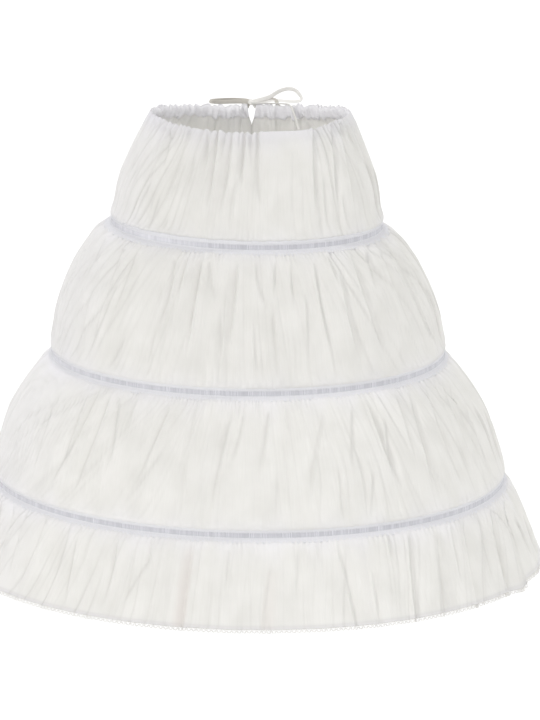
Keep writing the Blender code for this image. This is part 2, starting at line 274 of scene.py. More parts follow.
@dataclass(frozen=True)
class ChannelTape:
    """Sheer nylon and cotton tape over a flat hoop, stitched along both edges.

    It gives a cool grey band where the hoop shows through, crossed by light threads, and cool white margins
    that ripple with the gathers under them. Its map is in metres, along the tape and up from its middle.
    """

    name: str = "sheer channel tape"
    margin: str = "F9F9FB"
    hollow: str = "E8E8EC"
    band: str = "B8B8BE"
    thread: str = "EDEDF2"
    see_through: float = 0.30
    band_low_mm: float = -3.3
    band_high_mm: float = 3.2
    edge_mm: float = 1.3
    wander_mm: float = 0.9
    wander_per_m: float = 160.0
    tick_mm: float = 3.0
    cover_per_m: float = 22.0
    rib_mm: float = 1.6
    rib_deep_mm: float = 0.4
    roughness: float = 0.7
    sheen: float = 0.15
    gloss: float = 0.3

    def build(self) -> bpy.types.Material:
        """Make the material from the tape's own map.

        Returns:
            The material.
        """
        material, tree, shader = new_material(self.name)
        add = partial(add_node, tree)
        place = add("ShaderNodeUVMap", uv_map="cloth").outputs["UV"]
        along, up, _ = add("ShaderNodeSeparateXYZ", {"Vector": place}).outputs
        # Four patterns along the tape: each row has its steps per metre, its detail and its roughness.
        wander, ticks, covers, ribbing = (
            add(
                "ShaderNodeTexNoise",
                {
                    "W": add("ShaderNodeMath", {0: along, 1: per_m}, operation="MULTIPLY").outputs[0],
                    "Detail": detail,
                    "Roughness": rough,
                },
                noise_dimensions="1D",
            ).outputs["Fac"]
            for per_m, detail, rough in (
                (self.wander_per_m, 1.0, 0.5),
                (1 / (self.tick_mm * MM), 2.0, 0.8),
                (self.cover_per_m, 2.0, 0.5),
                (1 / (self.rib_mm * MM), 1.0, 0.5),
            )
        )
        # The band's two edges wander a little along the tape.
        height = add(
            "ShaderNodeMath", {0: wander, 1: self.wander_mm * MM, 2: up}, operation="MULTIPLY_ADD"
        ).outputs[0]
        low, high = self.band_low_mm + self.wander_mm / 2, self.band_high_mm + self.wander_mm / 2
        rise, fall = (
            add(
                "ShaderNodeMapRange",
                {"Value": height, "From Min": start * MM, "From Max": (start + self.edge_mm) * MM, **ends},
                interpolation_type="SMOOTHSTEP",
            ).outputs[0]
            for start, ends in ((low, {}), (high - self.edge_mm, {"To Min": 1.0, "To Max": 0.0}))
        )
        band = add("ShaderNodeMath", {0: rise, 1: fall}, operation="MULTIPLY").outputs[0]
        # Light threads cross the band in bunches, and the gathers hide it where the tape is drawn together.
        tick, cover, ribbed = (
            add("ShaderNodeMapRange", {"Value": grain, "From Min": start, "From Max": end, **ends}).outputs[0]
            for grain, start, end, ends in (
                (ticks, 0.50, 0.58, {"To Max": 0.95}),
                (covers, 0.38, 0.62, {"To Min": 0.3}),
                (ribbing, 0.35, 0.65, {}),
            )
        )
        tick = add("ShaderNodeMath", {0: tick, 1: cover}, operation="MULTIPLY").outputs[0]
        drawn = add("ShaderNodeAttribute", attribute_name="drawn").outputs["Fac"]
        tick = add("ShaderNodeMath", {0: drawn, 1: tick}, operation="MAXIMUM").outputs[0]
        crossed, margin = (
            add("ShaderNodeMix", {0: amount, 6: linear(under), 7: linear(over)}, data_type="RGBA").outputs[2]
            for amount, under, over in ((tick, self.band, self.thread), (ribbed, self.margin, self.hollow))
        )
        colour = add("ShaderNodeMix", {0: band, 6: margin, 7: crossed}, data_type="RGBA").outputs[2]
        # The margins are drawn into fine ribs by the gathers that they hold.
        relief = {"Strength": 0.6, "Distance": self.rib_deep_mm * MM, "Height": ribbing}
        ribs = add("ShaderNodeBump", relief).outputs[0]
        dress_shader(shader, colour, ribs, self.roughness, self.sheen, self.gloss)
        # Only the margins are sheer: the hoop stops the light behind the band.
        ends = {"Value": band, "To Min": self.see_through, "To Max": 0.0}
        sheer = add("ShaderNodeMapRange", ends).outputs[0]
        let_light_through(tree, shader, colour, ribs, sheer)
        return material


@dataclass(frozen=True)
class PlainFinish:
    """A small cotton or plastic piece with one colour, its own fine grain and a soft surface.

    Attributes:
        name: The finish's name.
        colour: Its colour, in sRGB hex.
        shade: The darker tone of its grain, in sRGB hex.
        roughness: Its roughness.
        sheen: How much soft light its fibres catch at the edges.
        grain_per_m: How many steps of its grain go into a metre, along each axis.
        grain_deep_mm: How deep the grain is.
        gloss: The strength of its reflections.
    """

    name: str
    colour: str
    shade: str
    roughness: float
    sheen: float
    grain_per_m: tuple[float, float, float]
    grain_deep_mm: float
    gloss: float = 0.3

    def build(self) -> bpy.types.Material:
        """Make the material on object coordinates.

        Returns:
            The material.
        """
        material, tree, shader = new_material(self.name)
        add = partial(add_node, tree)
        place = add("ShaderNodeTexCoord").outputs["Object"]
        steps = add("ShaderNodeMapping", {"Vector": place, "Scale": self.grain_per_m}).outputs[0]
        settings = {"Vector": steps, "Scale": 1.0, "Detail": 2.0, "Roughness": 0.6}
        grain = add("ShaderNodeTexNoise", settings).outputs["Fac"]
        tones = {0: grain, 6: linear(self.colour), 7: linear(self.shade)}
        colour = add("ShaderNodeMix", tones, data_type="RGBA").outputs[2]
        relief = {"Strength": 0.5, "Distance": self.grain_deep_mm * MM, "Height": grain}
        bump = add("ShaderNodeBump", relief).outputs[0]
        dress_shader(shader, colour, bump, self.roughness, self.sheen, self.gloss)
        return material


# The skirt's own sizes, as its solids have them


@dataclass(frozen=True)
class Level:
    """A height where the skirt's size is set.

    Attributes:
        height: How high it is.
        radius: Half the skirt's width there.
        oval: The skirt's depth as a share of its width.
        roll: How much it sinks per metre along X.
        shift: How far it is moved along X.
        saddle: How much it sinks at the front and back.
    """

    height: float
    radius: float
    oval: float
    roll: float
    shift: float
    saddle: float


@dataclass(frozen=True)
class Hoop:
    """A flat hoop in its tape.

    Attributes:
        level: Where its middle lies.
        columns: How many flat faces its solid has round.
        lean_out: How far out the lower edge of its tape leans.
        lean_down: How far down that edge hangs.
    """

    level: Level
    columns: int
    lean_out: float
    lean_down: float


WAIST = Level(0.0, 112.4 * MM, 0.76, 0.005, 1.7 * MM, 8.4 * MM)
HEM = Level(-471.0 * MM, 318.0 * MM, 1.0, 0.014, 0.0, 0.0)
HOOP_1 = Hoop(Level(-110.0 * MM, 145.0 * MM, 1.0, 0.0257, -1.9 * MM, 0.0), 36, 8.0 * MM, 3.8 * MM)
HOOP_2 = Hoop(Level(-250.0 * MM, 210.8 * MM, 1.0, 0.0091, -0.7 * MM, 0.0), 48, 4.5 * MM, 4.2 * MM)
HOOP_3 = Hoop(Level(-383.5 * MM, 274.5 * MM, 1.0, 0.0145, 0.0, 0.0), 60, 4.5 * MM, 4.2 * MM)

# The tapes and the hoops.
TAPE_WALL = 1.0 * MM
TAPE_FACE = 6.4 * MM
UPPER_MARGIN_TALL = 3.4 * MM
SEAM_GAP = 0.3 * MM
HOOP_HEIGHT = 6.0 * MM
HOOP_THICKNESS = 1.2 * MM
# The slit at the centre back, whose middle lies a little to one side.
SLIT_WIDTH = 7.4 * MM
SLIT_FOOT = -13.5 * MM
SLIT_MIDDLE = 3.0 * MM
# The walls of the cloth and of the tapes.
SHELL = 0.45 * MM
TAPE_SHELL = 0.4 * MM
# How far the cloth keeps from the margin of the tape above it, where it lies under it and just below it.
UNDER_MARGIN = 0.45 * MM
BESIDE_MARGIN = 0.35 * MM
# How the cloth swells over a tape and dives behind it: mm above the hoop's middle, and mm beyond the tape.
OVER_TAPE = ((9.2, 1.1), (7.2, 0.7), (6.0, 0.4), (5.0, 0.05), (4.2, -0.4), (3.5, -1.4), (2.7, -3.0))
# The shares of a tier's drop that lie under the tape above it and the tape below it.
UNDER_TAPES = (0.05, 0.948)
# Where the first tier's frilled edge stands above the waist, as a share of its drop.
FRILL_EDGE = -0.078


def ease(share: float | np.ndarray) -> float | np.ndarray:
    """Go smoothly from 0 to 1 as share does, and stay there beyond."""
    kept = np.clip(share, 0, 1)
    return kept * kept * (3 - 2 * kept)


@dataclass(frozen=True)
class Ring:
    """One ring of a tier.

    Attributes:
        level: Its shape, as a mix of those of the two seams.
        height: How high it lies.
        radius: Its radius.
        fold: How deep the main gathers are in it.
        down: Its share of the tier's drop.
    """

    level: Level
    height: float
    radius: float
    fold: float
    down: float

    def numbers(self) -> tuple[float, ...]:
        """The ring as a row of numbers for smoothing."""
        return *astuple(self.level)[2:], self.height, self.radius, self.fold, self.down


@dataclass(frozen=True)
class Crease:
    """A fold line listed for one panel.

    Attributes:
        across: How far right of its panel's middle it lies, seen square on: its top, middle and foot, in mm.
        span: Where it starts and ends, as shares of the tier's drop.
        width: Half its width, in mm.
        depth: How deep it is, in mm, less than nothing for a ridge.
        lean: From -1 to 1, how much steeper its right side is than its left.
        blush: How much darker warm tone is painted into its valley as shade, from 0 to 1.
        turned: Whether across is in degrees round the panel instead, for the folds at the sides.
    """

    across: tuple[float, float, float]
    span: tuple[float, float]
    width: float
    depth: float
    lean: float = 0.0
    blush: float = 0.0
    turned: bool = False

    def reach(self, down: np.ndarray) -> tuple[np.ndarray, np.ndarray]:
        """How far along the crease each row lies, and how much of the crease shows there.

        Args:
            down: The rows' shares of the tier's drop.

        Returns:
            Two numbers from 0 to 1 for each row.
        """
        start, end = self.span
        along = np.clip((down - start) / (end - start), 0, 1)
        ease_in = 1.0 if start < 0.01 else np.clip(along / 0.2, 0, 1)
        ease_out = 1.0 if end > 0.99 else np.clip((1 - along) / 0.45, 0, 1)
        here = (down >= start - 0.02) & (down <= end + 0.02)
        return along, ease(ease_in * ease_out * np.ones_like(down)) * here

    def centre(self, along: np.ndarray, radius: np.ndarray, sway: float) -> np.ndarray:
        """The angle of the crease from its panel's middle.

        Args:
            along: How far along the crease each row lies, from 0 to 1.
            radius: The rows' radii.
            sway: How far a fold at the side is moved, in degrees, so that no two panels are alike.

        Returns:
            One angle for each row.
        """
        t, (top, middle, foot) = along, self.across
        across = (1 - t) * (1 - 2 * t) * top + 4 * t * (1 - t) * middle + t * (2 * t - 1) * foot
        if self.turned:
            return np.radians(across + sway)
        return np.arcsin(np.clip(across * MM / radius, -0.995, 0.995))


SIDE_CREASES = (
    Crease((66, 70, 73), (0.03, 0.62), 2.6, 1.9, -0.3, turned=True),
    Crease((74, 76, 77), (0.30, 0.96), 2.2, 1.6, 0.2, turned=True),
    Crease((80, 80, 81), (0.02, 0.50), 3.0, 2.2, -0.3, turned=True),
    Crease((85, 84.5, 84), (0.40, 0.97), 2.2, 1.5, 0.3, turned=True),
    Crease((-68, -71, -73), (0.02, 0.80), 2.6, 1.9, 0.3, turned=True),
    Crease((-76, -77, -79), (0.10, 0.55), 2.2, 1.7, 0.2, turned=True),
    Crease((-83, -82, -82), (0.02, 0.90), 2.8, 2.0, 0.2, turned=True),
    Crease((-86.5, -86, -86), (0.55, 0.97), 2.0, 1.5, 0.0, turned=True),
)
TIER_1_CREASES = (
    Crease((-70, -82, -94), (0.10, 0.78), 9.0, 2.4),
    Crease((-35, -39, -44), (-0.08, 0.72), 2.8, 2.6, 0.4),
    Crease((-20.5, -23.6, -32), (-0.08, 0.75), 2.4, 2.0, 0.3),
    Crease((-6.5, -7.5, -9), (-0.08, 0.44), 2.6, 3.4, 0.4),
    Crease((8.9, 8.9, 13.6), (-0.08, 0.66), 1.5, 1.9, 0.5),
    Crease((67.4, 68.5, 73.6), (-0.08, 0.75), 1.6, 2.0, -0.5),
    Crease((87, 92, 97.4), (-0.05, 0.78), 2.4, 2.0, -0.3),
    Crease((97, 107, 116), (-0.02, 0.82), 2.2, 1.8, -0.3),
    Crease((106, 116, 124), (0.05, 0.62), 2.0, 1.6),
    Crease((-86, -88, -92), (0.0, 0.34), 2.4, 2.0),
    Crease((-46, -46, -47), (-0.05, 0.36), 2.2, 1.6),
    Crease((-94, -100, -106), (0.60, 0.96), 1.5, 1.3),
    Crease((-104, -112, -121), (0.48, 0.82), 1.8, 1.5),
    Crease((-83, -88, -92), (0.78, 0.97), 1.3, 1.0),
    Crease((-58, -62, -70), (0.15, 0.60), 2.0, 1.2),
    Crease((-12, -17, -19), (0.30, 0.90), 3.0, 1.0),
    Crease((30, 31, 34), (0.25, 0.92), 1.4, 0.5),
    Crease((45, 46, 47), (0.05, 0.80), 2.0, 0.5),
    Crease((56, 58, 61), (0.30, 0.95), 1.5, 0.6),
    Crease((80, 82, 88), (0.30, 0.95), 2.4, 1.0),
    Crease((100, 104, 112), (0.55, 0.97), 1.6, 1.1),
)
TIER_2_CREASES = (
    Crease((-148, -165, -180), (0.04, 0.52), 2.4, 2.2),
    Crease((-127, -149, -166), (0.02, 0.78), 2.1, 2.4, 0.3),
    Crease((-113, -128, -146), (0.02, 0.58), 1.9, 1.8, 0.3),
    Crease((-75, -83, -102), (0.04, 0.68), 2.1, 2.0, 0.3),
    Crease((-60.5, -69, -75), (0.03, 0.42), 1.9, 1.7),
    Crease((-46, -57, -65.6), (0.03, 0.80), 3.0, 3.3, 0.4),
    Crease((-10, -15, -23.5), (0.03, 0.78), 2.0, 2.0, 0.3),
    Crease((-38, -37, -28.6), (0.03, 0.42), 1.7, 1.4),
    Crease((-28, -27.5, -27), (0.36, 0.78), 3.2, 1.7),
    Crease((11.5, 12.5, 26.5), (0.02, 0.44), 2.6, 1.7),
    Crease((26.5, 29, 31), (0.38, 0.96), 1.5, 1.6, 0.4),
    Crease((31, 29, 27), (0.03, 0.34), 1.9, 1.6),
    Crease((70, 79.4, 94), (0.04, 0.84), 2.1, 2.0, -0.3),
    Crease((98, 108, 121.5), (0.12, 0.88), 4.8, 2.8),
    Crease((108, 129, 150), (0.02, 0.92), 1.6, 2.0, -0.5),
    Crease((137, 157, 176), (0.02, 0.70), 1.7, 1.8, -0.4),
    Crease((125, 131, 135), (0.02, 0.34), 2.3, 2.2),
    Crease((150, 167, 185), (0.05, 0.55), 2.1, 1.8),
    Crease((-96, -101, -107), (0.58, 0.88), 1.7, 1.5),
    Crease((-127, -138, -151), (0.66, 0.95), 1.7, 1.6),
    Crease((62, 63.5, 65), (0.28, 0.84), 3.2, 1.5),
    Crease((6.4, 8, 9.5), (0.44, 0.94), 2.8, 1.4),
    Crease((-88, -92, -98), (0.20, 0.50), 5.0, 1.2),
    Crease((46, 47, 50), (0.02, 0.40), 2.0, 1.3),
    Crease((84, 90, 97), (0.02, 0.26), 1.8, 1.4),
    Crease((-165, -174, -184), (0.40, 0.90), 2.2, 1.8),
    Crease((-178, -185, -192), (0.20, 0.52), 3.0, 2.2, 0.2),
    Crease((-178, -192, -204), (0.34, 0.92), 2.0, 2.0, 0.3),
    Crease((-136, -156, -177), (0.30, 0.96), 1.8, 1.6, 0.3),
    Crease((144, 166, 180), (0.02, 0.42), 4.0, 2.6),
    Crease((158, 180, 199), (0.16, 0.86), 2.0, 2.4, -0.3),
    Crease((176, 192, 206), (0.38, 0.97), 1.8, 2.2, -0.3),
)
TIER_3_CREASES = (
    Crease((-169, -188, -206), (0.12, 0.82), 2.3, 2.2, 0.3),
    Crease((-142, -164, -186), (0.04, 0.88), 2.3, 2.6, 0.3),
    Crease((-137, -139, -152), (0.03, 0.68), 1.9, 1.8),
    Crease((-78.5, -103, -128.6), (0.05, 0.82), 1.9, 2.0, 0.4),
    Crease((-86, -110, -135), (0.38, 0.88), 1.7, 1.6, 0.3),
    Crease((-16, -31.5, -41.7), (0.10, 0.94), 1.9, 2.0, 0.4),
    Crease((-4, -11, -24), (0.10, 0.54), 1.5, 1.2),
    Crease((21.7, 16.6, 8.4), (0.06, 0.60), 1.9, 1.7, 0.3),
    Crease((80, 67.7, 60.5), (0.08, 0.80), 4.8, 2.0, 0.3),
    Crease((108.5, 107.5, 105.5), (0.08, 0.56), 1.7, 1.4),
    Crease((124, 144, 168), (0.06, 0.84), 2.3, 2.4, -0.3),
    Crease((142, 146, 150), (0.18, 0.66), 1.9, 1.6),
    Crease((167, 183, 195), (0.04, 0.88), 1.9, 2.0, -0.3),
    Crease((195, 218, 239), (0.03, 0.84), 2.1, 2.0, -0.3),
    Crease((205, 222, 236), (0.10, 0.64), 2.1, 1.8),
    Crease((-203, -215, -227), (0.18, 0.76), 2.5, 2.0),
    Crease((-65, -68, -72), (0.46, 0.98), 7.0, 2.3),
    Crease((40, 42, 45), (0.06, 0.46), 8.0, 1.7),
    Crease((-52, -58, -66), (0.04, 0.40), 3.0, 1.2),
    Crease((92, 96, 98), (0.50, 0.96), 1.6, 1.1),
    Crease((30, 28, 27), (0.55, 0.98), 2.2, 0.9),
    Crease((130, 128, 126), (0.55, 0.97), 1.6, 1.2),
    Crease((-112, -120, -126), (0.02, 0.30), 1.8, 1.4),
    Crease((152, 165, 176), (0.02, 0.60), 1.5, 1.4, -0.3),
    Crease((178, 190, 204), (0.30, 0.92), 1.5, 1.4, -0.3),
    Crease((186, 208, 232), (0.04, 0.95), 1.8, 1.8, -0.3),
    Crease((212, 236, 262), (0.10, 0.92), 2.0, 2.4, -0.4),
    Crease((229, 247, 268), (0.22, 0.97), 2.0, 2.2, -0.3),
    Crease((-152, -183, -214), (0.02, 0.90), 2.0, 2.2, 0.3),
    Crease((-196, -217, -238), (0.15, 0.66), 2.2, 2.0, 0.2),
    Crease((-215, -232, -249), (0.34, 0.96), 2.0, 1.8, 0.2),
)
TIER_4_CREASES = (
    Crease((-233, -243, -253), (0.04, 0.84), 2.1, 2.6, 0.3),
    Crease((-210, -225.6, -243), (0.04, 0.90), 2.3, 2.8, 0.3),
    Crease((-185, -194, -205), (0.04, 0.74), 1.9, 1.8),
    Crease((-179, -186, -192), (0.18, 0.98), 2.6, 2.6),
    Crease((-136, -142, -154), (0.08, 0.96), 2.4, 2.2),
    Crease((-97.4, -119, -138), (0.22, 0.96), 1.4, 1.5, 0.4),
    Crease((-57.8, -63.9, -70), (0.04, 1.0), 4.6, 2.2, 0.15, 0.6),
    Crease((23.6, 18.5, 15.5), (0.28, 1.0), 5.0, 1.4, 0.0, 0.3),
    Crease((90.7, 102, 111), (0.08, 1.0), 6.0, 3.0),
    Crease((166, 169, 174), (0.02, 1.0), 1.8, 2.5, -0.5),
    Crease((197.5, 200.6, 204.6), (0.12, 1.0), 5.0, 3.0),
    Crease((224, 231, 239), (0.02, 1.0), 2.2, 3.6, -0.5),
    Crease((255, 264, 276), (0.04, 1.0), 2.8, 4.3, -0.2),
    Crease((272, 282, 294), (0.04, 1.0), 3.0, 4.4, -0.5),
    Crease((143.6, 146, 148), (0.04, 0.34), 1.7, 1.4),
    Crease((52, 50, 49), (0.08, 0.76), 4.0, 1.6),
    Crease((-20, -22, -26), (0.10, 0.60), 3.0, 1.2),
    Crease((-100, -102, -106), (0.03, 0.45), 2.6, 1.6),
    Crease((70, 72, 74), (0.02, 0.36), 1.8, 1.3),
    Crease((128, 132, 137), (0.40, 1.0), 5.0, 2.0),
    Crease((-262, -270, -280), (0.05, 1.0), 3.0, 4.0),
    Crease((210, 217, 223), (0.05, 0.80), 1.8, 1.8, -0.3),
    Crease((243, 249, 258), (0.10, 0.90), 1.6, 1.8, -0.3),
    Crease((-246, -258, -270), (0.02, 0.90), 2.0, 2.4, 0.3),
)

# The side of each tier between the tapes: share of its drop, and radius in mm.
TIER_1_SIDE = (
    (FRILL_EDGE, 107.9), (0.02, 113.9), (0.082, 117.2), (0.290, 127.3),
    (0.540, 137.9), (0.700, 141.9), (0.800, 143.4), (0.860, 145.0),
)
TIER_2_SIDE = (
    (0.070, 159.0), (0.125, 167.0), (0.210, 176.0), (0.310, 185.0),
    (0.430, 193.2), (0.560, 200.6), (0.700, 206.5), (0.820, 209.4),
    (0.885, 211.2),
)
TIER_3_SIDE = (
    (0.075, 219.6), (0.120, 225.4), (0.180, 231.8), (0.260, 239.6),
    (0.370, 249.2), (0.480, 257.0), (0.600, 262.8), (0.720, 268.0),
    (0.820, 272.4), (0.885, 274.8),
)
TIER_4_SIDE = (
    (0.135, 284.6), (0.200, 288.2), (0.300, 292.2), (0.400, 296.0),
    (0.500, 299.6), (0.620, 303.4), (0.750, 307.8), (0.880, 312.4),
    (1.000, 317.0),
)


def mirrored(creases: Sequence[Crease], stretch: float, slide: float) -> tuple[Crease, ...]:
    """Lay the creases of one panel on a hidden one: turned left to right, stretched and slid along.

    Args:
        creases: The creases of the panel that shows.
        stretch: The hidden panel's width as a share of the first one's.
        slide: How far they move to the right, in mm.

    Returns:
        The hidden panel's creases.
    """
    return tuple(
        replace(
            crease, across=tuple(-x * stretch + slide for x in crease.across), lean=-crease.lean, blush=0.0
        )
        for crease in creases
    )


def smooth_rows(knots: np.ndarray, values: np.ndarray, at: np.ndarray) -> np.ndarray:
    """Run a smooth curve through rows of numbers that never swings past them.

    Args:
        knots: Where each row lies, rising.
        values: The rows.
        at: Where the curve is wanted.

    Returns:
        One row of numbers for each place in at.
    """
    step = np.diff(knots)[:, None]
    rise = np.diff(values, axis=0) / step
    slope = np.zeros_like(values)
    slope[0], slope[-1] = rise[0], rise[-1]
    before, after = rise[:-1], rise[1:]
    same = before * after > 0
    weight_a, weight_b = 2 * step[1:] + step[:-1], step[1:] + 2 * step[:-1]
    safe_before, safe_after = np.where(same, before, 1.0), np.where(same, after, 1.0)
    mean = (weight_a + weight_b) / (weight_a / safe_before + weight_b / safe_after)
    slope[1:-1] = np.where(same, mean, 0.0)
    i = np.clip(np.searchsorted(knots, at, side="right") - 1, 0, len(knots) - 2)
    t = ((at - knots[i]) / step[i, 0])[:, None]
    h = step[i]
    return (
        (2 * t**3 - 3 * t**2 + 1) * values[i]
        + (t**3 - 2 * t**2 + t) * h * slope[i]
        + (3 * t**2 - 2 * t**3) * values[i + 1]
        + (t**3 - t**2) * h * slope[i + 1]
    )


def cloth_noise(x: np.ndarray, y: np.ndarray, seed: int) -> np.ndarray:
    """Smooth unevenness between 0 and 1, the same at every run.

    Args:
        x: Where across the cloth, in steps of the unevenness.
        y: Where down the cloth, in its own steps.
        seed: Which of many patterns.

    Returns:
        One number for each place.
    """
    low_x, low_y = np.floor(x).astype(np.int64), np.floor(y).astype(np.int64)
    ease_x, ease_y = ease(x - low_x), ease(y - low_y)

    def corner(step_x: int, step_y: int) -> np.ndarray:
        """The pattern's own number at one corner of the step.

        Args:
            step_x: 0 for the corners before the place, 1 for those after it.
            step_y: The same, down the cloth.

        Returns:
            One number from 0 to 1 for each place.
        """
        mixed = (low_x + step_x) * 374761393 + (low_y + step_y) * 668265263 + seed * 1274126177
        mixed = (mixed ^ (mixed >> 13)) & 0xFFFFFFFF
        mixed = (mixed * 1103515245 + 12345) & 0xFFFFFFFF
        return ((mixed ^ (mixed >> 16)) & 0xFFFF) / 0xFFFF

    top, foot = (corner(0, step) * (1 - ease_x) + corner(1, step) * ease_x for step in (0, 1))
    return top * (1 - ease_y) + foot * ease_y


@dataclass
class Section:
    """The side profile of a tier as smooth rows from top to foot.

    Attributes:
        rings: The tier's rings from top to foot.
        rows: How many steps the profile is cut into.
        crowd: From 0 to 1, how much closer the rows lie at both ends.
        arc: How far each row lies down the cloth.
        outward: The way out at each row, along and up.
        oval: Each row's depth as a share of its width.
        roll: How much it sinks per metre along X.
        shift: How far it is moved along X.
        saddle: How much it sinks at the front and back.
        height: How high it lies.
        radius: Its radius.
        fold: How deep the main gathers are in it.
        down: Its share of the tier's drop.
    """

    rings: Sequence[Ring]
    rows: int
    crowd: float = 0.7
    arc: np.ndarray = field(init=False)
    outward: np.ndarray = field(init=False)
    oval: np.ndarray = field(init=False)
    roll: np.ndarray = field(init=False)
    shift: np.ndarray = field(init=False)
    saddle: np.ndarray = field(init=False)
    height: np.ndarray = field(init=False)
    radius: np.ndarray = field(init=False)
    fold: np.ndarray = field(init=False)
    down: np.ndarray = field(init=False)

    def __post_init__(self) -> None:
        """Smooth the rings into rows and find which way is out at each."""
        numbers = np.array([ring.numbers() for ring in self.rings])
        steps = np.diff([(ring.height, ring.radius) for ring in self.rings], axis=0)
        knots = np.concatenate([[0.0], np.cumsum(np.hypot(steps[:, 0], steps[:, 1]))])
        share = np.linspace(0, 1, self.rows + 1)
        self.arc = knots[-1] * (share - self.crowd * np.sin(TURN * share) / TURN)
        columns = smooth_rows(knots, numbers, self.arc).T
        self.oval, self.roll, self.shift, self.saddle = columns[:4]
        self.height, self.radius, self.fold, self.down = columns[4:]
        run = np.gradient(self.radius, self.arc), np.gradient(self.height, self.arc)
        size = np.hypot(*run)
        self.outward = np.stack([-run[1] / size, run[0] / size], axis=1)

    def place(self, angle: np.ndarray, depth: np.ndarray) -> np.ndarray:
        """Put cloth round the skirt.

        Args:
            angle: The angle of each place, by row and column.
            depth: How far inside the profile it lies.

        Returns:
            The places in metres, by row and column.
        """
        out = self.radius[:, None] - depth * self.outward[:, :1]
        up = self.height[:, None] - depth * self.outward[:, 1:]
        across = out * np.sin(angle)
        along = -out * self.oval[:, None] * np.cos(angle)
        level = up - self.roll[:, None] * across - self.saddle[:, None] * np.cos(angle) ** 2
        return np.stack([self.shift[:, None] + across, along, level], axis=-1)


def grid_mesh(name: str, columns: int, rows: int, places: np.ndarray, cloth: np.ndarray) -> bpy.types.Mesh:
    """Make a sheet of cloth from a flat grid moved to its place.

    Args:
        name: The mesh's name.
        columns: Steps along the sheet.
        rows: Steps down the sheet.
        places: Where each corner goes, by row from the top and by column.
        cloth: The cloth's own map, in metres along and up, by row and column.

    Returns:
        The mesh, faced outwards, with its map.
    """
    shape = bmesh.new()
    shape.loops.layers.uv.new("cloth")
    bmesh.ops.create_grid(shape, x_segments=columns, y_segments=rows, size=0.5, calc_uvs=True)
    mesh = bpy.data.meshes.new(name)
    shape.to_mesh(mesh)
    shape.free()
    flat = np.zeros(len(mesh.vertices) * 3)
    mesh.vertices.foreach_get("co", flat)
    flat = flat.reshape(-1, 3)
    column = np.rint((flat[:, 0] + 0.5) * columns).astype(int)
    row = rows - np.rint((flat[:, 1] + 0.5) * rows).astype(int)
    mesh.vertices.foreach_set("co", places[row, column].ravel())
    corner = np.zeros(len(mesh.loops), dtype=int)
    mesh.loops.foreach_get("vertex_index", corner)
    mesh.uv_layers["cloth"].data.foreach_set("uv", cloth[row, column][corner].ravel())
    mesh.shade_smooth()
    mesh.update()
    return mesh


def set_attribute(mesh: bpy.types.Mesh, name: str, values: np.ndarray) -> None:
    """Store a number at each corner of a sheet.

    Args:
        mesh: The sheet, straight from grid_mesh.
        name: The attribute's name.
        values: The numbers, by row from the top and by column.
    """
    if values.size != len(mesh.vertices):
        raise ValueError(f"{mesh.name} has {len(mesh.vertices)} corners, not {values.size}")
    order = values[::-1].ravel().astype(np.float32)
    mesh.attributes.new(name, "FLOAT", "POINT").data.foreach_set("value", order)


def unit(lines: np.ndarray) -> np.ndarray:
    """Make each row of numbers one long."""
    return lines / np.linalg.norm(lines, axis=1)[:, None]


def close_round(mesh: bpy.types.Mesh, capped: bool = False) -> None:
    """Join the first and the last column of a sheet that goes all the way round.

    Args:
        mesh: The sheet, whose two columns lie in one place.
        capped: Whether its two open ends are filled too, so that it is solid.
    """
    shape = bmesh.new()
    shape.from_mesh(mesh)
    bmesh.ops.remove_doubles(shape, verts=shape.verts, dist=0.001 * MM)
    if capped:
        bmesh.ops.holes_fill(shape, edges=shape.edges, sides=0)
        bmesh.ops.recalc_face_normals(shape, faces=shape.faces)
    shape.to_mesh(mesh)
    shape.free()


def finish_piece(
    name: str,
    mesh: bpy.types.Mesh,
    material: bpy.types.Material,
    nodes: Sequence[str] = (),
    shell: float = 0.0,
) -> bpy.types.Object:
    """Put a mesh in the scene as one finished piece that rides on the skirt.

    Args:
        name: The piece's name.
        mesh: Its mesh, in place.
        material: Its finish.
        nodes: The solids that it replaces.
        shell: Its wall, added to the inside, or 0 where the mesh is closed.

    Returns:
        The piece.
    """
    mesh.materials.append(material)
    item = bpy.data.objects.new(name, mesh)
    bpy.context.scene.collection.objects.link(item)
    if shell:
        wall = item.modifiers.new("Wall", "SOLIDIFY")
        wall.thickness = shell
        wall.offset = -1
        wall.use_even_offset = False
    if nodes:
        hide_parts(*nodes)
    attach(item, "root")
    log.info("%s: %d faces", name, len(mesh.polygons))
    return item


@dataclass
class Panel:
    """One cut panel of a gathered tier.

    Attributes:
        node: The solid that it stands for.
        side: The side it is cut for.
        columns: Steps along it.
        gathers: How many main gathers it has.
        seed: Where its hand-made unevenness starts.
        creases: Its main creases, as listed.
        cut: The flat cloth it was cut from, along and down, in metres.
        whole: Whether it goes all the way round, open at the centre back.
    """

    node: str
    side: Side
    columns: int
    gathers: int
    seed: float
    creases: Sequence[Crease]
    cut: tuple[float, float]
    whole: bool = False

    def edge(self, number: int) -> float:
        """The share of the panel at which a gather starts, as in the solid."""
        wander = 0.16 * math.sin(2.4 * number + self.seed) if 0 < number < self.gathers else 0.0
        return (number + wander) / self.gathers


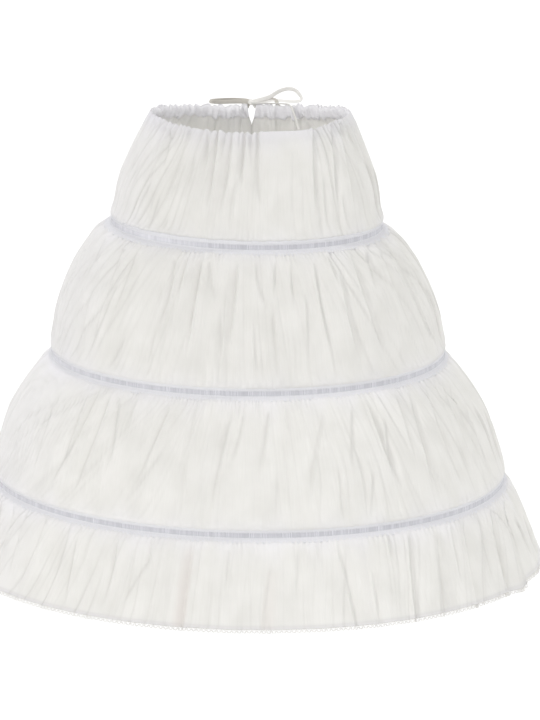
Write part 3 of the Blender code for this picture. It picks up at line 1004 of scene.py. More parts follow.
def tier_rings(
    upper: Hoop | Level,
    lower: Hoop | Level,
    rows: Sequence[tuple[float, float]],
    gathers: tuple[float, float],
) -> list[Ring]:
    """The rings of a tier: its solid's form, with the swell over each tape that the cloth itself has.

    Args:
        upper: What the tier hangs from.
        lower: What it reaches down to.
        rows: Share of the drop and radius in mm, for each ring between.
        gathers: How deep the gathers are at the top and the foot, in mm, away from a stitched seam.

    Returns:
        The rings from top to foot.
    """
    sewn_top, sewn_foot = isinstance(upper, Hoop), isinstance(lower, Hoop)
    top = upper.level if sewn_top else upper
    foot = lower.level if sewn_foot else lower
    sizes = tuple(zip(astuple(top), astuple(foot)))

    def ring(down: float, height: float, radius: float) -> Ring:
        """One ring, with its level between those of the two seams.

        Args:
            down: Its share of the tier's drop.
            height: How high it lies.
            radius: Its radius.

        Returns:
            The ring.
        """
        kept = min(max(down, 0.0), 1.0)
        fold = gathers[0] + (gathers[1] - gathers[0]) * kept
        fold *= ease(kept / 0.2) if sewn_top else 1.0
        fold *= ease((1 - kept) / 0.2) if sewn_foot else 1.0
        return Ring(Level(*(a + (b - a) * kept for a, b in sizes)), height, radius, fold * MM, down)

    rings = []
    if sewn_top:
        rings.append(ring(0.0, top.height - HOOP_HEIGHT / 2 - SHELL, seat_radius(upper)))
        lean = math.hypot(upper.lean_out, upper.lean_down)
        # Each row: how far along the tape's margin, how far the cloth stands proud of it, share of the drop.
        for share, proud, down in (
            (0.4, -UNDER_MARGIN, UNDER_TAPES[0]),
            (0.72, BESIDE_MARGIN, 0.062),
            (1.05, BESIDE_MARGIN, 0.078),
        ):
            height = top.height - TAPE_FACE / 2 - upper.lean_down * share + proud * upper.lean_out / lean
            radius = top.radius + upper.lean_out * share + proud * upper.lean_down / lean
            rings.append(ring(down, height, radius))
    drop = top.height - foot.height
    rings += [ring(down, top.height - drop * down, radius * MM) for down, radius in rows]
    if sewn_foot:
        for above, beyond in OVER_TAPE:
            height = foot.height + above * MM
            rings.append(ring((top.height - height) / drop, height, foot.radius + beyond * MM))
        rings.append(ring(1.0, foot.height - HOOP_HEIGHT / 2, seat_radius(lower)))
    return rings


def seat_radius(hoop: Hoop) -> float:
    """The outer radius of the cloth behind a hoop."""
    sag = hoop.level.radius * (1 - math.cos(math.pi / hoop.columns))
    return hoop.level.radius - TAPE_WALL - SEAM_GAP - HOOP_THICKNESS - SEAM_GAP - sag


@dataclass
class Tier:
    """A gathered tier of cotton, built a panel at a time.

    Attributes:
        rests_on: The hoop that holds it up; not used.
        rings: Its rings from top to foot.
        rows: Steps down it.
        panels: Its panels.
        pitch: How far apart its fine seam gathers are, in mm.
        top_gather: How deep they are at its top, in mm.
        foot_gather: How deep they are at its foot, in mm, or 0 where the foot hangs free.
        crumple: How deep the fine creases between the main ones are, in mm.
        main: The share of the solid's main gathers that shows.
        bold: How much deeper the placed creases are than their own sizes say.
        swell: How deep the broad soft waves are, in mm.
        sewn_top: Whether a tape covers its upper edge.
        painted_tier_shade: How much painted shade darkens the whole tier, most at the front, from 0 to 1.
        fan: How much further apart its small folds are at the foot than at the top, on the left and right.
    """

    rests_on: str
    rings: Sequence[Ring]
    rows: int
    panels: Sequence[Panel]
    pitch: float = 6.0
    top_gather: float = 0.9
    foot_gather: float = 0.8
    crumple: float = 1.1
    main: float = 0.4
    bold: float = 1.2
    swell: float = 1.6
    sewn_top: bool = True
    painted_tier_shade: float = 0.0
    fan: tuple[float, float] = (0.35, 0.35)
    section: Section = field(init=False)
    places: np.ndarray = field(init=False)

    def __post_init__(self) -> None:
        """Smooth the profile."""
        self.section = Section(self.rings, self.rows)

    def angles(self, panel: Panel) -> np.ndarray:
        """The angle of each place of a panel.

        Args:
            panel: The panel.

        Returns:
            The angles, by row and column.
        """
        share = np.tile(np.linspace(-1, 1, panel.columns + 1), (self.rows + 1, 1))
        if not panel.whole:
            return panel.side.value + share * math.pi / 2
        reach = self.section.radius * self.section.oval
        half = math.pi - self.slit(self.section.height) / reach
        return half[:, None] * share - ((SLIT_MIDDLE - self.section.shift) / reach)[:, None]

    @staticmethod
    def slit(height: np.ndarray) -> np.ndarray:
        """Half the width of the opening at the centre back.

        Args:
            height: How high each row lies.

        Returns:
            One number for each row.
        """
        mouth = WAIST.height + (HOOP_1.level.height - WAIST.height) * FRILL_EDGE
        share = np.clip((height - SLIT_FOOT) / (mouth - SLIT_FOOT), 0, 1)
        return SLIT_WIDTH * share**0.6 / 2

    def crease_depth(self, panel: Panel, angle: np.ndarray) -> tuple[np.ndarray, np.ndarray, np.ndarray]:
        """How deep the main creases lie, how much painted warm shade they carry and how much painted shade
        darkens their cores.

        Args:
            panel: The panel.
            angle: The angle of each of its places.

        Returns:
            The depth in metres, and the painted warm shade and the painted core shade from 0 to 1, by row and
            column.
        """
        radius = self.section.radius
        depth, blush, crease_shade = (np.zeros_like(angle) for _ in range(3))
        for number, crease in enumerate((*panel.creases, *SIDE_CREASES)):
            along, shown = crease.reach(self.section.down)
            sway = 1.6 * math.sin(2.1 * number + panel.seed)
            centre = crease.centre(along, radius, sway) + panel.side.value
            off = ((angle - centre[:, None] + math.pi) % TURN - math.pi) * radius[:, None] / MM
            narrow = min(1.0, 3.0 / crease.width)
            tilt = crease.lean * 2 if crease.lean else -0.5 * math.copysign(narrow, crease.across[1])
            widths = off / crease.width
            widths *= np.exp(1.5 * tilt * np.tanh(widths * 2.0))
            amount = (shown * (0.9 + 0.5 * np.abs(np.sin(centre)) ** 3))[:, None]
            depth += amount * np.exp(-(np.abs(widths) ** 1.25)) * crease.depth * self.bold * MM
            # Painted shade darkens the crease's core, most where it is deep and narrow.
            core = off / 1.7
            crease_shade += 0.85 * amount * np.exp(-(core**2)) * min(crease.depth / 2.6, 1.1) * narrow**2
            # The cloth stands up beside the crisp side of a fold.
            lip = np.exp(-((core * math.copysign(1.5, tilt or 1.0) - 2.6) ** 2) / 1.6)
            depth -= amount * lip * 0.45 * min(crease.depth, 3.0) * MM
            # Painted shade: a darker warm tone in the crease's valley, stronger towards its foot.
            if crease.blush:
                blush += amount * np.exp(-((widths / 1.3) ** 4)) * crease.blush * (0.4 + 0.6 * along)[:, None]
        return depth, np.clip(blush, 0, 1), crease_shade

    def gather_depth(self, panel: Panel) -> np.ndarray:
        """The main gathers of the solid.

        Args:
            panel: The panel.

        Returns:
            Their depth in metres, by row and column.
        """
        share = np.linspace(0, 1, panel.columns + 1)
        profile = np.full(panel.columns + 1, 0.12)
        for number in range(panel.gathers + 1):
            deep = 1.0 + 0.35 * math.sin(1.7 * number + panel.seed)
            width = (0.20 + 0.06 * math.sin(3.1 * number + panel.seed)) / panel.gathers
            profile += (deep - 0.12) * np.exp(-(((share - panel.edge(number)) / width) ** 2))
        return self.section.fold[:, None] * profile[None, :]

    def reaches(self) -> tuple[np.ndarray, np.ndarray]:
        """How far each row lies from the tapes.

        Returns:
            How far below the tape above and how far above the tape below, in mm.
        """
        arc, down = self.section.arc / MM, self.section.down
        start = np.interp(UNDER_TAPES[0], down, arc) if self.sewn_top else 0.0
        stop = np.interp(UNDER_TAPES[1], down, arc) if self.foot_gather else arc[-1] + 30.0
        return (arc - start)[:, None], (stop - arc)[:, None]

    def across(self, panel: Panel, angle: np.ndarray) -> np.ndarray:
        """Where each place lies across the pattern of small folds, which fans out towards the foot.

        Args:
            panel: The panel.
            angle: The angle of each of its places.

        Returns:
            How far across it lies in mm, by row and column.
        """
        turn = angle - panel.side.value
        # The pattern is stretched at the two sides, where the real folds are wider.
        sine = np.sin(turn)
        even = np.where(np.abs(turn) > math.pi / 2, np.sign(turn) * (2 - np.abs(sine)), sine)
        x = (0.4 * turn + 0.6 * even) * (float(np.mean(self.section.radius)) / MM)
        left, right = self.fan if panel.side is Side.FRONT else self.fan[::-1]
        fan = left + (right - left) * (0.5 + 0.5 * np.tanh(x / 45))
        fan *= ease((math.pi / 2 - np.abs(turn)) / 0.7)
        return x / (1 + fan * (self.section.down[:, None] - 0.5))

    def fine_depth(self, panel: Panel, angle: np.ndarray) -> tuple[np.ndarray, np.ndarray]:
        """The fine seam gathers and the crumple between the creases.

        Args:
            panel: The panel.
            angle: The angle of each of its places.

        Returns:
            The depth in metres and the painted shade along the small folds and the seam gathers, by row and
            column.
        """
        below, above = self.reaches()
        x = self.across(panel, angle)
        y = np.repeat(self.section.arc[:, None] / MM, angle.shape[1], axis=1)
        seed = int(panel.seed * 10)
        wander = cloth_noise(x / 19, y / 50, seed + 1)
        ripple = 0.5 + 0.5 * np.sin(TURN * x / self.pitch + 5.5 * wander + 2.2 * np.sin(x / 31))
        uneven = 0.35 + 1.1 * cloth_noise(x / 13, y / 200, seed + 2)
        reach_top = 6 + 15 * cloth_noise(x / 9, y * 0, seed + 3) ** 1.5
        reach_foot = 5 + 12 * cloth_noise(x / 8, y * 0, seed + 4) ** 1.5
        near_top = np.exp(-((np.clip(below, 0, None) / reach_top) ** 1.4))
        near_foot = np.exp(-((np.clip(above, 0, None) / reach_foot) ** 1.4))
        if self.sewn_top:
            near_top *= np.clip(below / 2.0 + 0.5, 0.1, 1)
        near_foot *= np.clip(above / 2.0 + 0.5, 0.1, 1)
        seams = ripple**1.4 * uneven * (self.top_gather * near_top + self.foot_gather * near_foot)
        broad, crisp = self.pleats(x, y, 9.5, 95.0, seed + 5)
        narrow, thin = self.pleats(x, y, 5.2, 60.0, seed + 15)
        waves = self.swell * cloth_noise(x / 32, y / 150, seed + 9)
        waves += 0.4 * cloth_noise(x / 14, y / 80, seed + 10)
        loose = np.clip(below / 10, 0, 1) if self.sewn_top else 1.0
        loose = loose * (np.clip(above / 8, 0, 1) if self.foot_gather else 1.0)
        # Painted shade along the crisp side of the small folds and in the seam gathers.
        crease_shade = (0.45 * crisp + 0.22 * thin) * loose
        crease_shade += 0.3 * (seams / max(self.top_gather, self.foot_gather)) ** 2
        # The folds crowd together and grow deeper towards the sides, and their painted shade darker.
        side = 0.75 + 1.9 * np.sin(angle) ** 2
        return (seams + (self.crumple * (broad + 0.4 * narrow) * side + waves) * loose) * MM, crease_shade * side

    @staticmethod
    def pleats(
        x: np.ndarray, y: np.ndarray, pitch: float, length: float, seed: int
    ) -> tuple[np.ndarray, np.ndarray]:
        """Small folds that run down the cloth side by side, each crisp on the side away from the middle.

        Args:
            x: Where across the cloth, in mm.
            y: Where down the cloth, in mm.
            pitch: How far apart they lie, in mm.
            length: How long each is, in mm.
            seed: Which of many patterns.

        Returns:
            Their depth and the line at their crisp side, which is painted as shade, both from 0 to 1.
        """
        wander = cloth_noise(x / (4.1 * pitch), y / 85, seed)
        phase = x / pitch + 1.7 * wander + 0.7 * np.sin(x / (6.3 * pitch))
        number = np.floor(phase)
        share = phase - number
        peak = 0.5 - 0.34 * np.tanh(x / 30)
        fold = np.where(share < peak, share / peak, (1 - share) / (1 - peak))
        much = np.clip(2.1 * cloth_noise(number * 1.37, y / length, seed + 1) - 0.85, 0, 1)
        line = np.exp(-(((share - peak) * pitch / 1.05) ** 2))
        return much * fold, much * line

    def hold(self) -> np.ndarray:
        """How much of the free creases show, less at a stitched seam.

        Returns:
            A number from 0 to 1 for each row.
        """
        down = self.section.down
        top = np.clip((down - UNDER_TAPES[0]) / 0.05, 0, 1) if self.sewn_top else np.ones_like(down)
        foot = np.clip((UNDER_TAPES[1] - down) / 0.08, 0, 1) if self.foot_gather else np.ones_like(down)
        return ease(top * foot)[:, None]

    def build(self, material: bpy.types.Material) -> list[bpy.types.Object]:
        """Build and dress every panel of the tier.

        Args:
            material: The cloth's finish.

        Returns:
            The panels.
        """
        made = []
        for panel in self.panels:
            angle = self.angles(panel)
            depth, blush, crease_shade = self.shape(panel, angle)
            self.places = self.finish_edges(panel, angle, self.section.place(angle, depth))
            share = np.tile(np.linspace(0, panel.cut[0], panel.columns + 1), (self.rows + 1, 1))
            cloth = np.stack([share, -self.section.arc[:, None] * np.ones_like(share)], axis=-1)
            mesh = grid_mesh(panel.node, panel.columns, self.rows, self.places, cloth)
            # Painted shade: darker over the first two tiers, most at the front, in the crease cores and seam
            # grooves, and along the turned hem. Painted light: a lighter cool tone near the seams.
            painted_tier_shade = self.painted_tier_shade * (0.5 + 0.5 * np.cos(angle))
            painted_shade = np.clip(painted_tier_shade + 0.45 * crease_shade + 0.28 * self.painted_hem_shade(), 0, 0.7)
            for name, values in (("seam", self.painted_seam_light(angle)), ("blush", blush), ("fold", painted_shade)):
                set_attribute(mesh, name, values)
            item = finish_piece(f"{panel.node}_cloth", mesh, material, (panel.node,), SHELL)
            made.append(item)
        return made

    def shape(self, panel: Panel, angle: np.ndarray) -> tuple[np.ndarray, np.ndarray, np.ndarray]:
        """How a panel lies.

        Args:
            panel: The panel.
            angle: The angle of each of its places.

        Returns:
            Its depth inside the profile in metres, its painted warm shade and its painted crease shade, by row
            and column.
        """
        crease, blush, crease_shade = self.crease_depth(panel, angle)
        fine, fine_crease_shade = self.fine_depth(panel, angle)
        hold = self.hold()
        loose = (self.main * self.gather_depth(panel) + crease) * hold + fine
        return self.seam_joined(panel, loose, crease_shade * hold + fine_crease_shade, blush * hold)

    def seam_joined(
        self, panel: Panel, depth: np.ndarray, crease_shade: np.ndarray, blush: np.ndarray
    ) -> tuple[np.ndarray, np.ndarray, np.ndarray]:
        """Draw a panel's two ends to one depth, so that it meets the next panel in a pressed seam, with
        painted shade in its groove.

        Args:
            panel: The panel.
            depth: Its depth in metres.
            crease_shade: Its painted crease shade.
            blush: Its painted warm shade.

        Returns:
            The depth, the painted warm shade and the painted crease shade.
        """
        width = TURN * self.section.radius * (1.0 if panel.whole else 0.5)
        share = np.linspace(0, 1, panel.columns + 1)[None, :]
        off = np.minimum(share, 1 - share) * width[:, None] / MM
        near = np.exp(-((off / 7.0) ** 2))
        groove = np.exp(-((off / 1.1) ** 2))
        # Painted shade darkens the seam's groove.
        return depth * (1 - near) + (0.7 * near + 0.9 * groove) * MM, blush, crease_shade + 0.9 * groove

    def painted_hem_shade(self) -> np.ndarray:
        """How much painted shade darkens the narrow turned hem at each row, where the cloth is doubled, none
        where the foot is sewn to a hoop.
        """
        away = (self.section.arc[-1] - self.section.arc)[:, None] / MM
        return 0.0 * away if self.foot_gather else np.exp(-(((away - 2.2) / 2.2) ** 4))

    def finish_edges(self, panel: Panel, angle: np.ndarray, places: np.ndarray) -> np.ndarray:
        """Change the panel's edges where a tier needs it."""
        return places

    def painted_seam_light(self, angle: np.ndarray) -> np.ndarray:
        """How much painted light, a lighter cool tone, the cloth has near the tapes, the waist edge and the
        hem, and on its far left side.

        Args:
            angle: The angle of each place.

        Returns:
            A number from 0 to 1 for each place, by row and column.
        """
        arc = self.section.arc[:, None] / MM
        x = angle * float(np.mean(self.section.radius)) / MM
        reach = 9 + 12 * cloth_noise(x / 14, x * 0, 31)
        top = np.exp(-((arc / reach) ** 1.5))
        hem_reach = 0.8 * reach if self.foot_gather else 3.0
        foot = np.exp(-(((arc[-1] - arc) / hem_reach) ** 1.5))
        left = 0.35 * np.clip((-np.sin(angle) - 0.70) / 0.25, 0, 1)
        return np.clip(0.75 * top + 0.75 * foot + left, 0, 1)


@dataclass
class HemTier(Tier):
    """The last tier, whose hem hangs lower beside the deep fold at its right.

    Attributes:
        fold_at: The angle of that fold.
        droop: How much lower the hem hangs.
    """

    fold_at: float = math.radians(67.0)
    droop: float = 5.0 * MM

    def finish_edges(self, panel: Panel, angle: np.ndarray, places: np.ndarray) -> np.ndarray:
        """Let the hem droop up to the fold and step up beyond it.

        Args:
            panel: The panel.
            angle: The angle of each of its places.
            places: The places.

        Returns:
            The places, moved.
        """
        if panel.side is Side.FRONT:
            low = np.clip((self.section.down[:, None] - 0.45) / 0.55, 0, 1) ** 2
            off = (angle - self.fold_at) * HEM.radius / MM
            places[..., 2] -= self.droop * np.exp(-((off / np.where(off < 0, 26.0, 2.2)) ** 2)) * low
        return places


@dataclass
class WaistTier(Tier):
    """The first tier, with its turned heading, the puckers over the drawstring and the slit at the back.

    Attributes:
        flat_from: The angle where the flat stretch of front starts.
        flat_to: The angle where it ends.
        puff_mm: How far apart the small puffs over the drawstring are.
        lip_at: The angle where the front's edge hangs lowest.
        lip_drop: How much lower it hangs there.
    """

    flat_from: float = math.radians(4)
    flat_to: float = math.radians(37)
    puff_mm: float = 8.5
    lip_at: float = math.radians(33)
    lip_drop: float = 2.3 * MM
    sewn_top: bool = False

    def open_front(self, angle: np.ndarray) -> np.ndarray:
        """How far each place lies outside the flat stretch of front.

        Args:
            angle: The angle of each place.

        Returns:
            A number from 0 to 1 for each place.
        """
        edge = math.radians(1.5)
        flat_in = np.clip((angle - self.flat_from) / edge, 0, 1)
        flat_out = np.clip((self.flat_to + edge - angle) / math.radians(5), 0, 1)
        return 1 - flat_in * flat_out

    def puffs(self, angle: np.ndarray) -> np.ndarray:
        """The small puffs over the drawstring.

        Args:
            angle: The angle of each place.

        Returns:
            From 0 on a puff to 1 in the pleat beside it, for each place.
        """
        x = angle * WAIST.radius / MM
        wander = cloth_noise(x / 17, x * 0, 77)
        return 1 - np.abs(np.sin(math.pi * x / self.puff_mm + 4.5 * wander))

    def shape(self, panel: Panel, angle: np.ndarray) -> tuple[np.ndarray, np.ndarray, np.ndarray]:
        """How the panel lies, with sharp puckers at the drawstring and a flat stretch of front.

        Args:
            panel: The panel.
            angle: The angle of each of its places.

        Returns:
            Its depth inside the profile in metres, its painted warm shade and its painted crease shade, by row
            and column.
        """
        down = self.section.down[:, None]
        near = np.exp(-((np.clip(down + 0.02, 0, 1) / 0.24) ** 1.4))
        close = np.exp(-((np.clip(down - 0.02, 0, 1) / 0.10) ** 1.3))
        flat = np.clip(1.15 - np.clip(down, 0, 1) * 1.2, 0, 1)
        open_share = 1 - (1 - self.open_front(angle)) * flat
        crease, blush, crease_shade = self.crease_depth(panel, angle)
        # The hidden half behind has the same creases, turned round and fainter.
        hidden = replace(panel, creases=mirrored(panel.creases, 0.92, 5.0))
        behind, _, behind_crease_shade = self.crease_depth(hidden, angle - math.pi)
        crease, crease_shade = crease + 0.7 * behind, crease_shade + 0.25 * behind_crease_shade
        fine, fine_crease_shade = self.fine_depth(panel, angle)
        hold = self.hold()
        pucker = self.gather_depth(panel) * (self.main + 0.45 * near) * open_share
        x = angle * WAIST.radius / MM
        small = self.puffs(angle) * (0.4 + 1.1 * cloth_noise(x / 21, x * 0, 78)) * open_share * close
        loose = (pucker + crease) * hold + small * 1.8 * MM + fine * (0.35 + 0.65 * open_share)
        # Painted shade in the crease cores, the puckers by the drawstring and the pleats between the puffs.
        waist_crease_shade = (crease_shade + 0.06 * pucker / MM * near) * hold + 0.3 * small + fine_crease_shade * open_share
        return self.seam_joined(panel, loose, waist_crease_shade, blush)

    def finish_edges(self, panel: Panel, angle: np.ndarray, places: np.ndarray) -> np.ndarray:
        """Raise the heading's edge on the puffs and drop it between them, except on the flat front.

        Args:
            panel: The panel.
            angle: The angle of each of its places.
            places: The places.

        Returns:
            The places, moved.
        """
        below = self.section.down[:, None] - FRILL_EDGE
        edge = np.exp(-((below / 0.035) ** 2))
        x = angle * WAIST.radius / MM
        behind = np.clip(-np.cos(angle), 0, 1) ** 0.5
        rise = 0.6 + 1.4 * behind - 1.6 * self.puffs(angle) + 1.6 * (cloth_noise(x / 9, x * 0, 91) - 0.5)
        places[..., 2] += edge * rise * MM * (0.12 + 0.88 * self.open_front(angle))
        low = np.exp(-(((angle - self.lip_at) / math.radians(15)) ** 2))
        places[..., 2] -= self.lip_drop * low * np.clip(1 - below / 0.12, 0, 1)
        return places


# The whole skirt


@dataclass
class HoopTape:
    """The sheer tape over one hoop.

    Attributes:
        node: The solid tape's name.
        hoop: The hoop that it covers.
        columns: Steps round it.
        cut: Its flat size, along and across, in metres; not used.
        seed: Where its unevenness starts.
        faded: How much the gathers hide the hoop, from 0 to 1.
        fade_from: How far to the left of the middle they start to, as a share of the hoop's radius.
        rows: Steps down it.
        ripple_mm: How far apart the ripples of its margins are.
    """

    node: str
    hoop: Hoop
    columns: int
    cut: tuple[float, float]
    seed: int
    faded: float
    fade_from: float
    rows: int = 12
    ripple_mm: float = 6.0

    def profile(self) -> list[Ring]:
        """The tape's section.

        Returns:
            Its rings from the upper edge to the lower one, which leans out over the tier below.
        """
        level, out, drop = self.hoop.level, self.hoop.lean_out, self.hoop.lean_down
        face = TAPE_FACE / 2
        # Each row: how far above the hoop's middle, how far out, how deep it ripples in mm, share of the way.
        rows = (
            (face + UPPER_MARGIN_TALL, -0.35 * MM, 0.2, 0.0),
            (face + 1.9 * MM, 0.15 * MM, 0.2, 0.2),
            (face + 0.4 * MM, -0.1 * MM, 0.0, 0.25),
            (face - 0.9 * MM, -0.2 * MM, 0.0, 0.3),
            (0.9 * MM - face, -0.2 * MM, 0.0, 0.6),
            (-face, 0.1 * MM, 0.0, 0.65),
            (-face - drop * 0.5, out * 0.5, 0.15, 0.8),
            (-face - drop * 0.95 - 0.6 * MM, out * 0.95 - 0.3 * MM, 0.25, 1.0),
        )
        return [
            Ring(level, level.height + up, level.radius + wide, fold * MM, down)
            for up, wide, fold, down in rows
        ]

    def drawn(self, angle: np.ndarray) -> np.ndarray:
        """How much the gathers hide the hoop.

        Args:
            angle: The angle of each place.

        Returns:
            A number from 0 to 1 for each place, the same at both ends of the ring.
        """
        grain = cloth_noise(angle * self.hoop.level.radius / MM / 2.2, angle * 0, self.seed + 6)
        left = np.clip((-np.sin(angle) - self.fade_from) / 0.30, 0, 1)
        left *= np.clip(0.6 + 1.2 * np.cos(angle), 0, 1)
        right = 0.3 * np.clip((np.sin(angle) - 0.75) / 0.25, 0, 1)
        amount = (left + right) * (0.35 + 0.65 * grain) * self.faded
        amount[:, -1] = amount[:, 0]
        return amount

    def build(self, material: bpy.types.Material) -> bpy.types.Object:
        """Build the tape as one closed ring with rippled margins.

        Args:
            material: The tape's finish.

        Returns:
            The tape.
        """
        level = self.hoop.level
        section = Section(self.profile(), self.rows, 0.0)
        angle = np.tile(np.linspace(-math.pi, math.pi, self.columns + 1), (self.rows + 1, 1))
        x = angle * level.radius / MM
        wander = cloth_noise(x / 19, x * 0, self.seed)
        ripples = round(TURN * level.radius / MM / self.ripple_mm)
        ripple = 0.5 + 0.5 * np.sin(ripples * angle + 4 * wander)
        front = 0.5 + 0.5 * np.cos(angle)
        depth = section.fold[:, None] * (ripple * front + 0.5 * (1 - front))
        depth += 0.10 * MM * cloth_noise(x / 3, x * 0, self.seed + 4)
        depth[:, -1] = depth[:, 0]
        places = section.place(angle, depth)
        edge = np.abs(2 * np.linspace(0, 1, self.rows + 1)[:, None] - 1) ** 6
        places[..., 2] += edge * (cloth_noise(x / 4.5, x * 0, self.seed + 8) - 0.5) * 1.1 * MM
        places[:, -1] = places[:, 0]
        up = section.height - level.height - np.clip(section.radius - level.radius, 0, None)
        cloth = np.stack([angle * level.radius, up[:, None] * np.ones_like(angle)], axis=-1)
        mesh = grid_mesh(self.node, self.columns, self.rows, places, cloth)
        set_attribute(mesh, "drawn", self.drawn(angle))
        close_round(mesh)
        item = finish_piece(f"{self.node}_cover", mesh, material, (self.node,), TAPE_SHELL)
        return item


@dataclass(frozen=True)
class HoopStrips:
    """The three flat strips in the tapes, which keep their solids' own form.

    Attributes:
        nodes: The solids' names.
    """

    nodes: tuple[str, ...] = ("hoop_1", "hoop_2", "hoop_3")

    def dress(self, material: bpy.types.Material) -> None:
        """Give every strip its finish.

        Args:
            material: The strips' finish.
        """
        for name in self.nodes:
            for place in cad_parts[name].material_slots:
                place.material = material
            log.info("%s: dressed", name)


@dataclass
class Casing:
    """The band inside the waist that the drawstring runs behind.

    Attributes:
        node: The solid that it stands for.
        cut: Its flat size, along and across, in metres; not used.
        inside: How far inside the first tier it lies.
        top: How high its upper edge is.
        foot: How high its lower edge is.
        pleat: The width of its pleats.
        drawn: The length along it that its pattern of pleats is laid out on.
    """

    node: str = "waist_casing"
    cut: tuple[float, float] = (0.73, 0.016)
    inside: float = 1.5 * MM
    top: float = 8.3 * MM
    foot: float = -8.0 * MM
    pleat: float = 8.5 * MM
    drawn: float = 0.7

    def build(self, waist: WaistTier, material: bpy.types.Material) -> bpy.types.Object:
        """Build the band inside the first tier, along the tier's own folds.

        Args:
            waist: The first tier, already built.
            material: The band's finish.

        Returns:
            The band.
        """
        height = waist.section.height
        kept = np.flatnonzero((height < self.top) & (height > self.foot))
        outer = waist.places[kept[0] : kept[-1] + 1]
        rows, columns = outer.shape[0] - 1, outer.shape[1] - 1
        level = (outer - np.array([WAIST.shift, 0, 0])) * np.array([1, 1, 0])
        inwards = level / np.linalg.norm(level, axis=-1)[..., None]
        share = np.linspace(0, 1, rows + 1)[:, None]
        along = np.tile(np.linspace(0, self.drawn, columns + 1), (rows + 1, 1))
        still = 0 * along
        sway = 5.0 * cloth_noise(along / 0.017, share * 0.5 + still, 24)
        pleats = np.abs(np.sin(math.pi * along / self.pleat + sway)) ** 0.6
        ruffle = pleats * (0.35 + 1.1 * cloth_noise(along / 0.0130, share * 0.8 + still, 19))
        wave = cloth_noise(along / 0.0170, share * 0.6 + still, 23) ** 1.5
        bulge = np.sin(math.pi * share)
        swell = (bulge**0.4 * (0.1 + 2.6 * ruffle) + 1.2 * bulge * wave) * MM
        places = outer - inwards * (self.inside * (0.4 + 0.6 * bulge) + swell)[..., None]
        # Its lower edge hangs in uneven scallops, longer on the right.
        hang = 0.50 - 0.7 * cloth_noise(along / 0.0036, still, 21)
        hang -= 0.45 * cloth_noise(along / 0.019, still, 22)
        left = np.clip(-outer[0, :, 0] / (60 * MM), 0, 1)[None, :]
        lift = share**2 * (1.6 * left - 6.0 * hang) * MM
        places[..., 2] += lift
        places -= inwards * (0.55 * np.clip(lift, 0, None) + 0.5 * MM * share**2)[..., None]
        mesh = grid_mesh(self.node, columns, rows, places, np.stack([along, 0.05 + still], axis=-1))
        item = finish_piece(f"{self.node}_band", mesh, material, (self.node,), TAPE_SHELL)
        return item


@dataclass(frozen=True)
class Spot:
    """A point of the drawstring: its place in mm from the middle of the slit, and degrees turned edge on."""

    x: float
    y: float
    z: float
    turned: float = 0.0


LEFT_STRING = (
    Spot(-5.0, 85.3, -4.2, 0),
    Spot(-4.8, 85.5, -2.9, 0),
    Spot(-4.0, 85.6, -1.2, 10),
    Spot(-2.6, 85.0, 0.6, 20),
    Spot(-1.0, 83.8, 2.2, 20),
    Spot(-3.2, 84.3, 3.6, 0),
    Spot(-8.9, 86.0, 4.3, -15),
    Spot(-20.8, 85.6, 5.2, -30),
    Spot(-32.6, 82.5, 5.3, -30),
    Spot(-40.6, 79.5, 4.9, -10),
    Spot(-43.8, 77.8, 4.3, 30),
    Spot(-40.6, 76.4, 3.8, 30),
    Spot(-31.5, 77.2, 3.7, 10),
    Spot(-19.7, 79.2, 3.8, 5),
    Spot(-8.9, 80.6, 3.6, 0),
    Spot(-3.6, 81.6, 3.0, 0),
    Spot(0.2, 84.4, 2.2, 30),
    Spot(5.0, 87.6, 2.1, 30),
    Spot(14.8, 87.6, 3.4, 20),
    Spot(21.8, 83.6, 5.6, 20),
    Spot(26.0, 79.4, 5.0, 20),
    Spot(27.7, 77.6, 2.3, 20),
    Spot(28.9, 76.4, -1.8, 20),
)
RIGHT_STRING = (
    Spot(5.0, 85.3, -4.2, 0),
    Spot(4.8, 85.5, -2.9, 0),
    Spot(4.0, 85.6, -1.2, 10),
    Spot(2.6, 85.0, 0.6, 20),
    Spot(1.0, 83.4, 2.6, 10),
    Spot(5.0, 81.6, 4.4, 0),
    Spot(11.5, 81.6, 6.0, 0),
    Spot(20.1, 82.2, 8.6, 0),
    Spot(26.5, 82.6, 12.6, 5),
    Spot(33.0, 82.4, 15.8, 10),
    Spot(40.0, 81.4, 17.5, 10),
    Spot(46.9, 79.8, 16.1, 15),
    Spot(51.5, 78.4, 12.0, 30),
    Spot(53.7, 77.2, 8.2, 50),
    Spot(52.6, 76.8, 5.3, 55),
    Spot(44.8, 77.6, 4.2, 55),
    Spot(35.1, 79.0, 4.6, 60),
    Spot(26.2, 81.0, 5.2, 60),
    Spot(14.7, 84.0, 3.9, 50),
    Spot(5.0, 83.9, 2.6, 30),
    Spot(1.0, 82.2, 2.4, 20),
    Spot(1.4, 79.6, 2.4, 30),
    Spot(5.0, 78.4, 2.5, 45),
    Spot(17.9, 77.6, 2.3, 65),
    Spot(31.8, 75.0, 2.3, 65),
    Spot(39.3, 71.6, 2.0, 60),
    Spot(42.7, 68.6, -0.2, 60),
    Spot(44.7, 67.2, -4.4, 60),
    Spot(47.7, 66.8, -13.0, 58),
    Spot(51.1, 67.6, -25.1, 56),
)


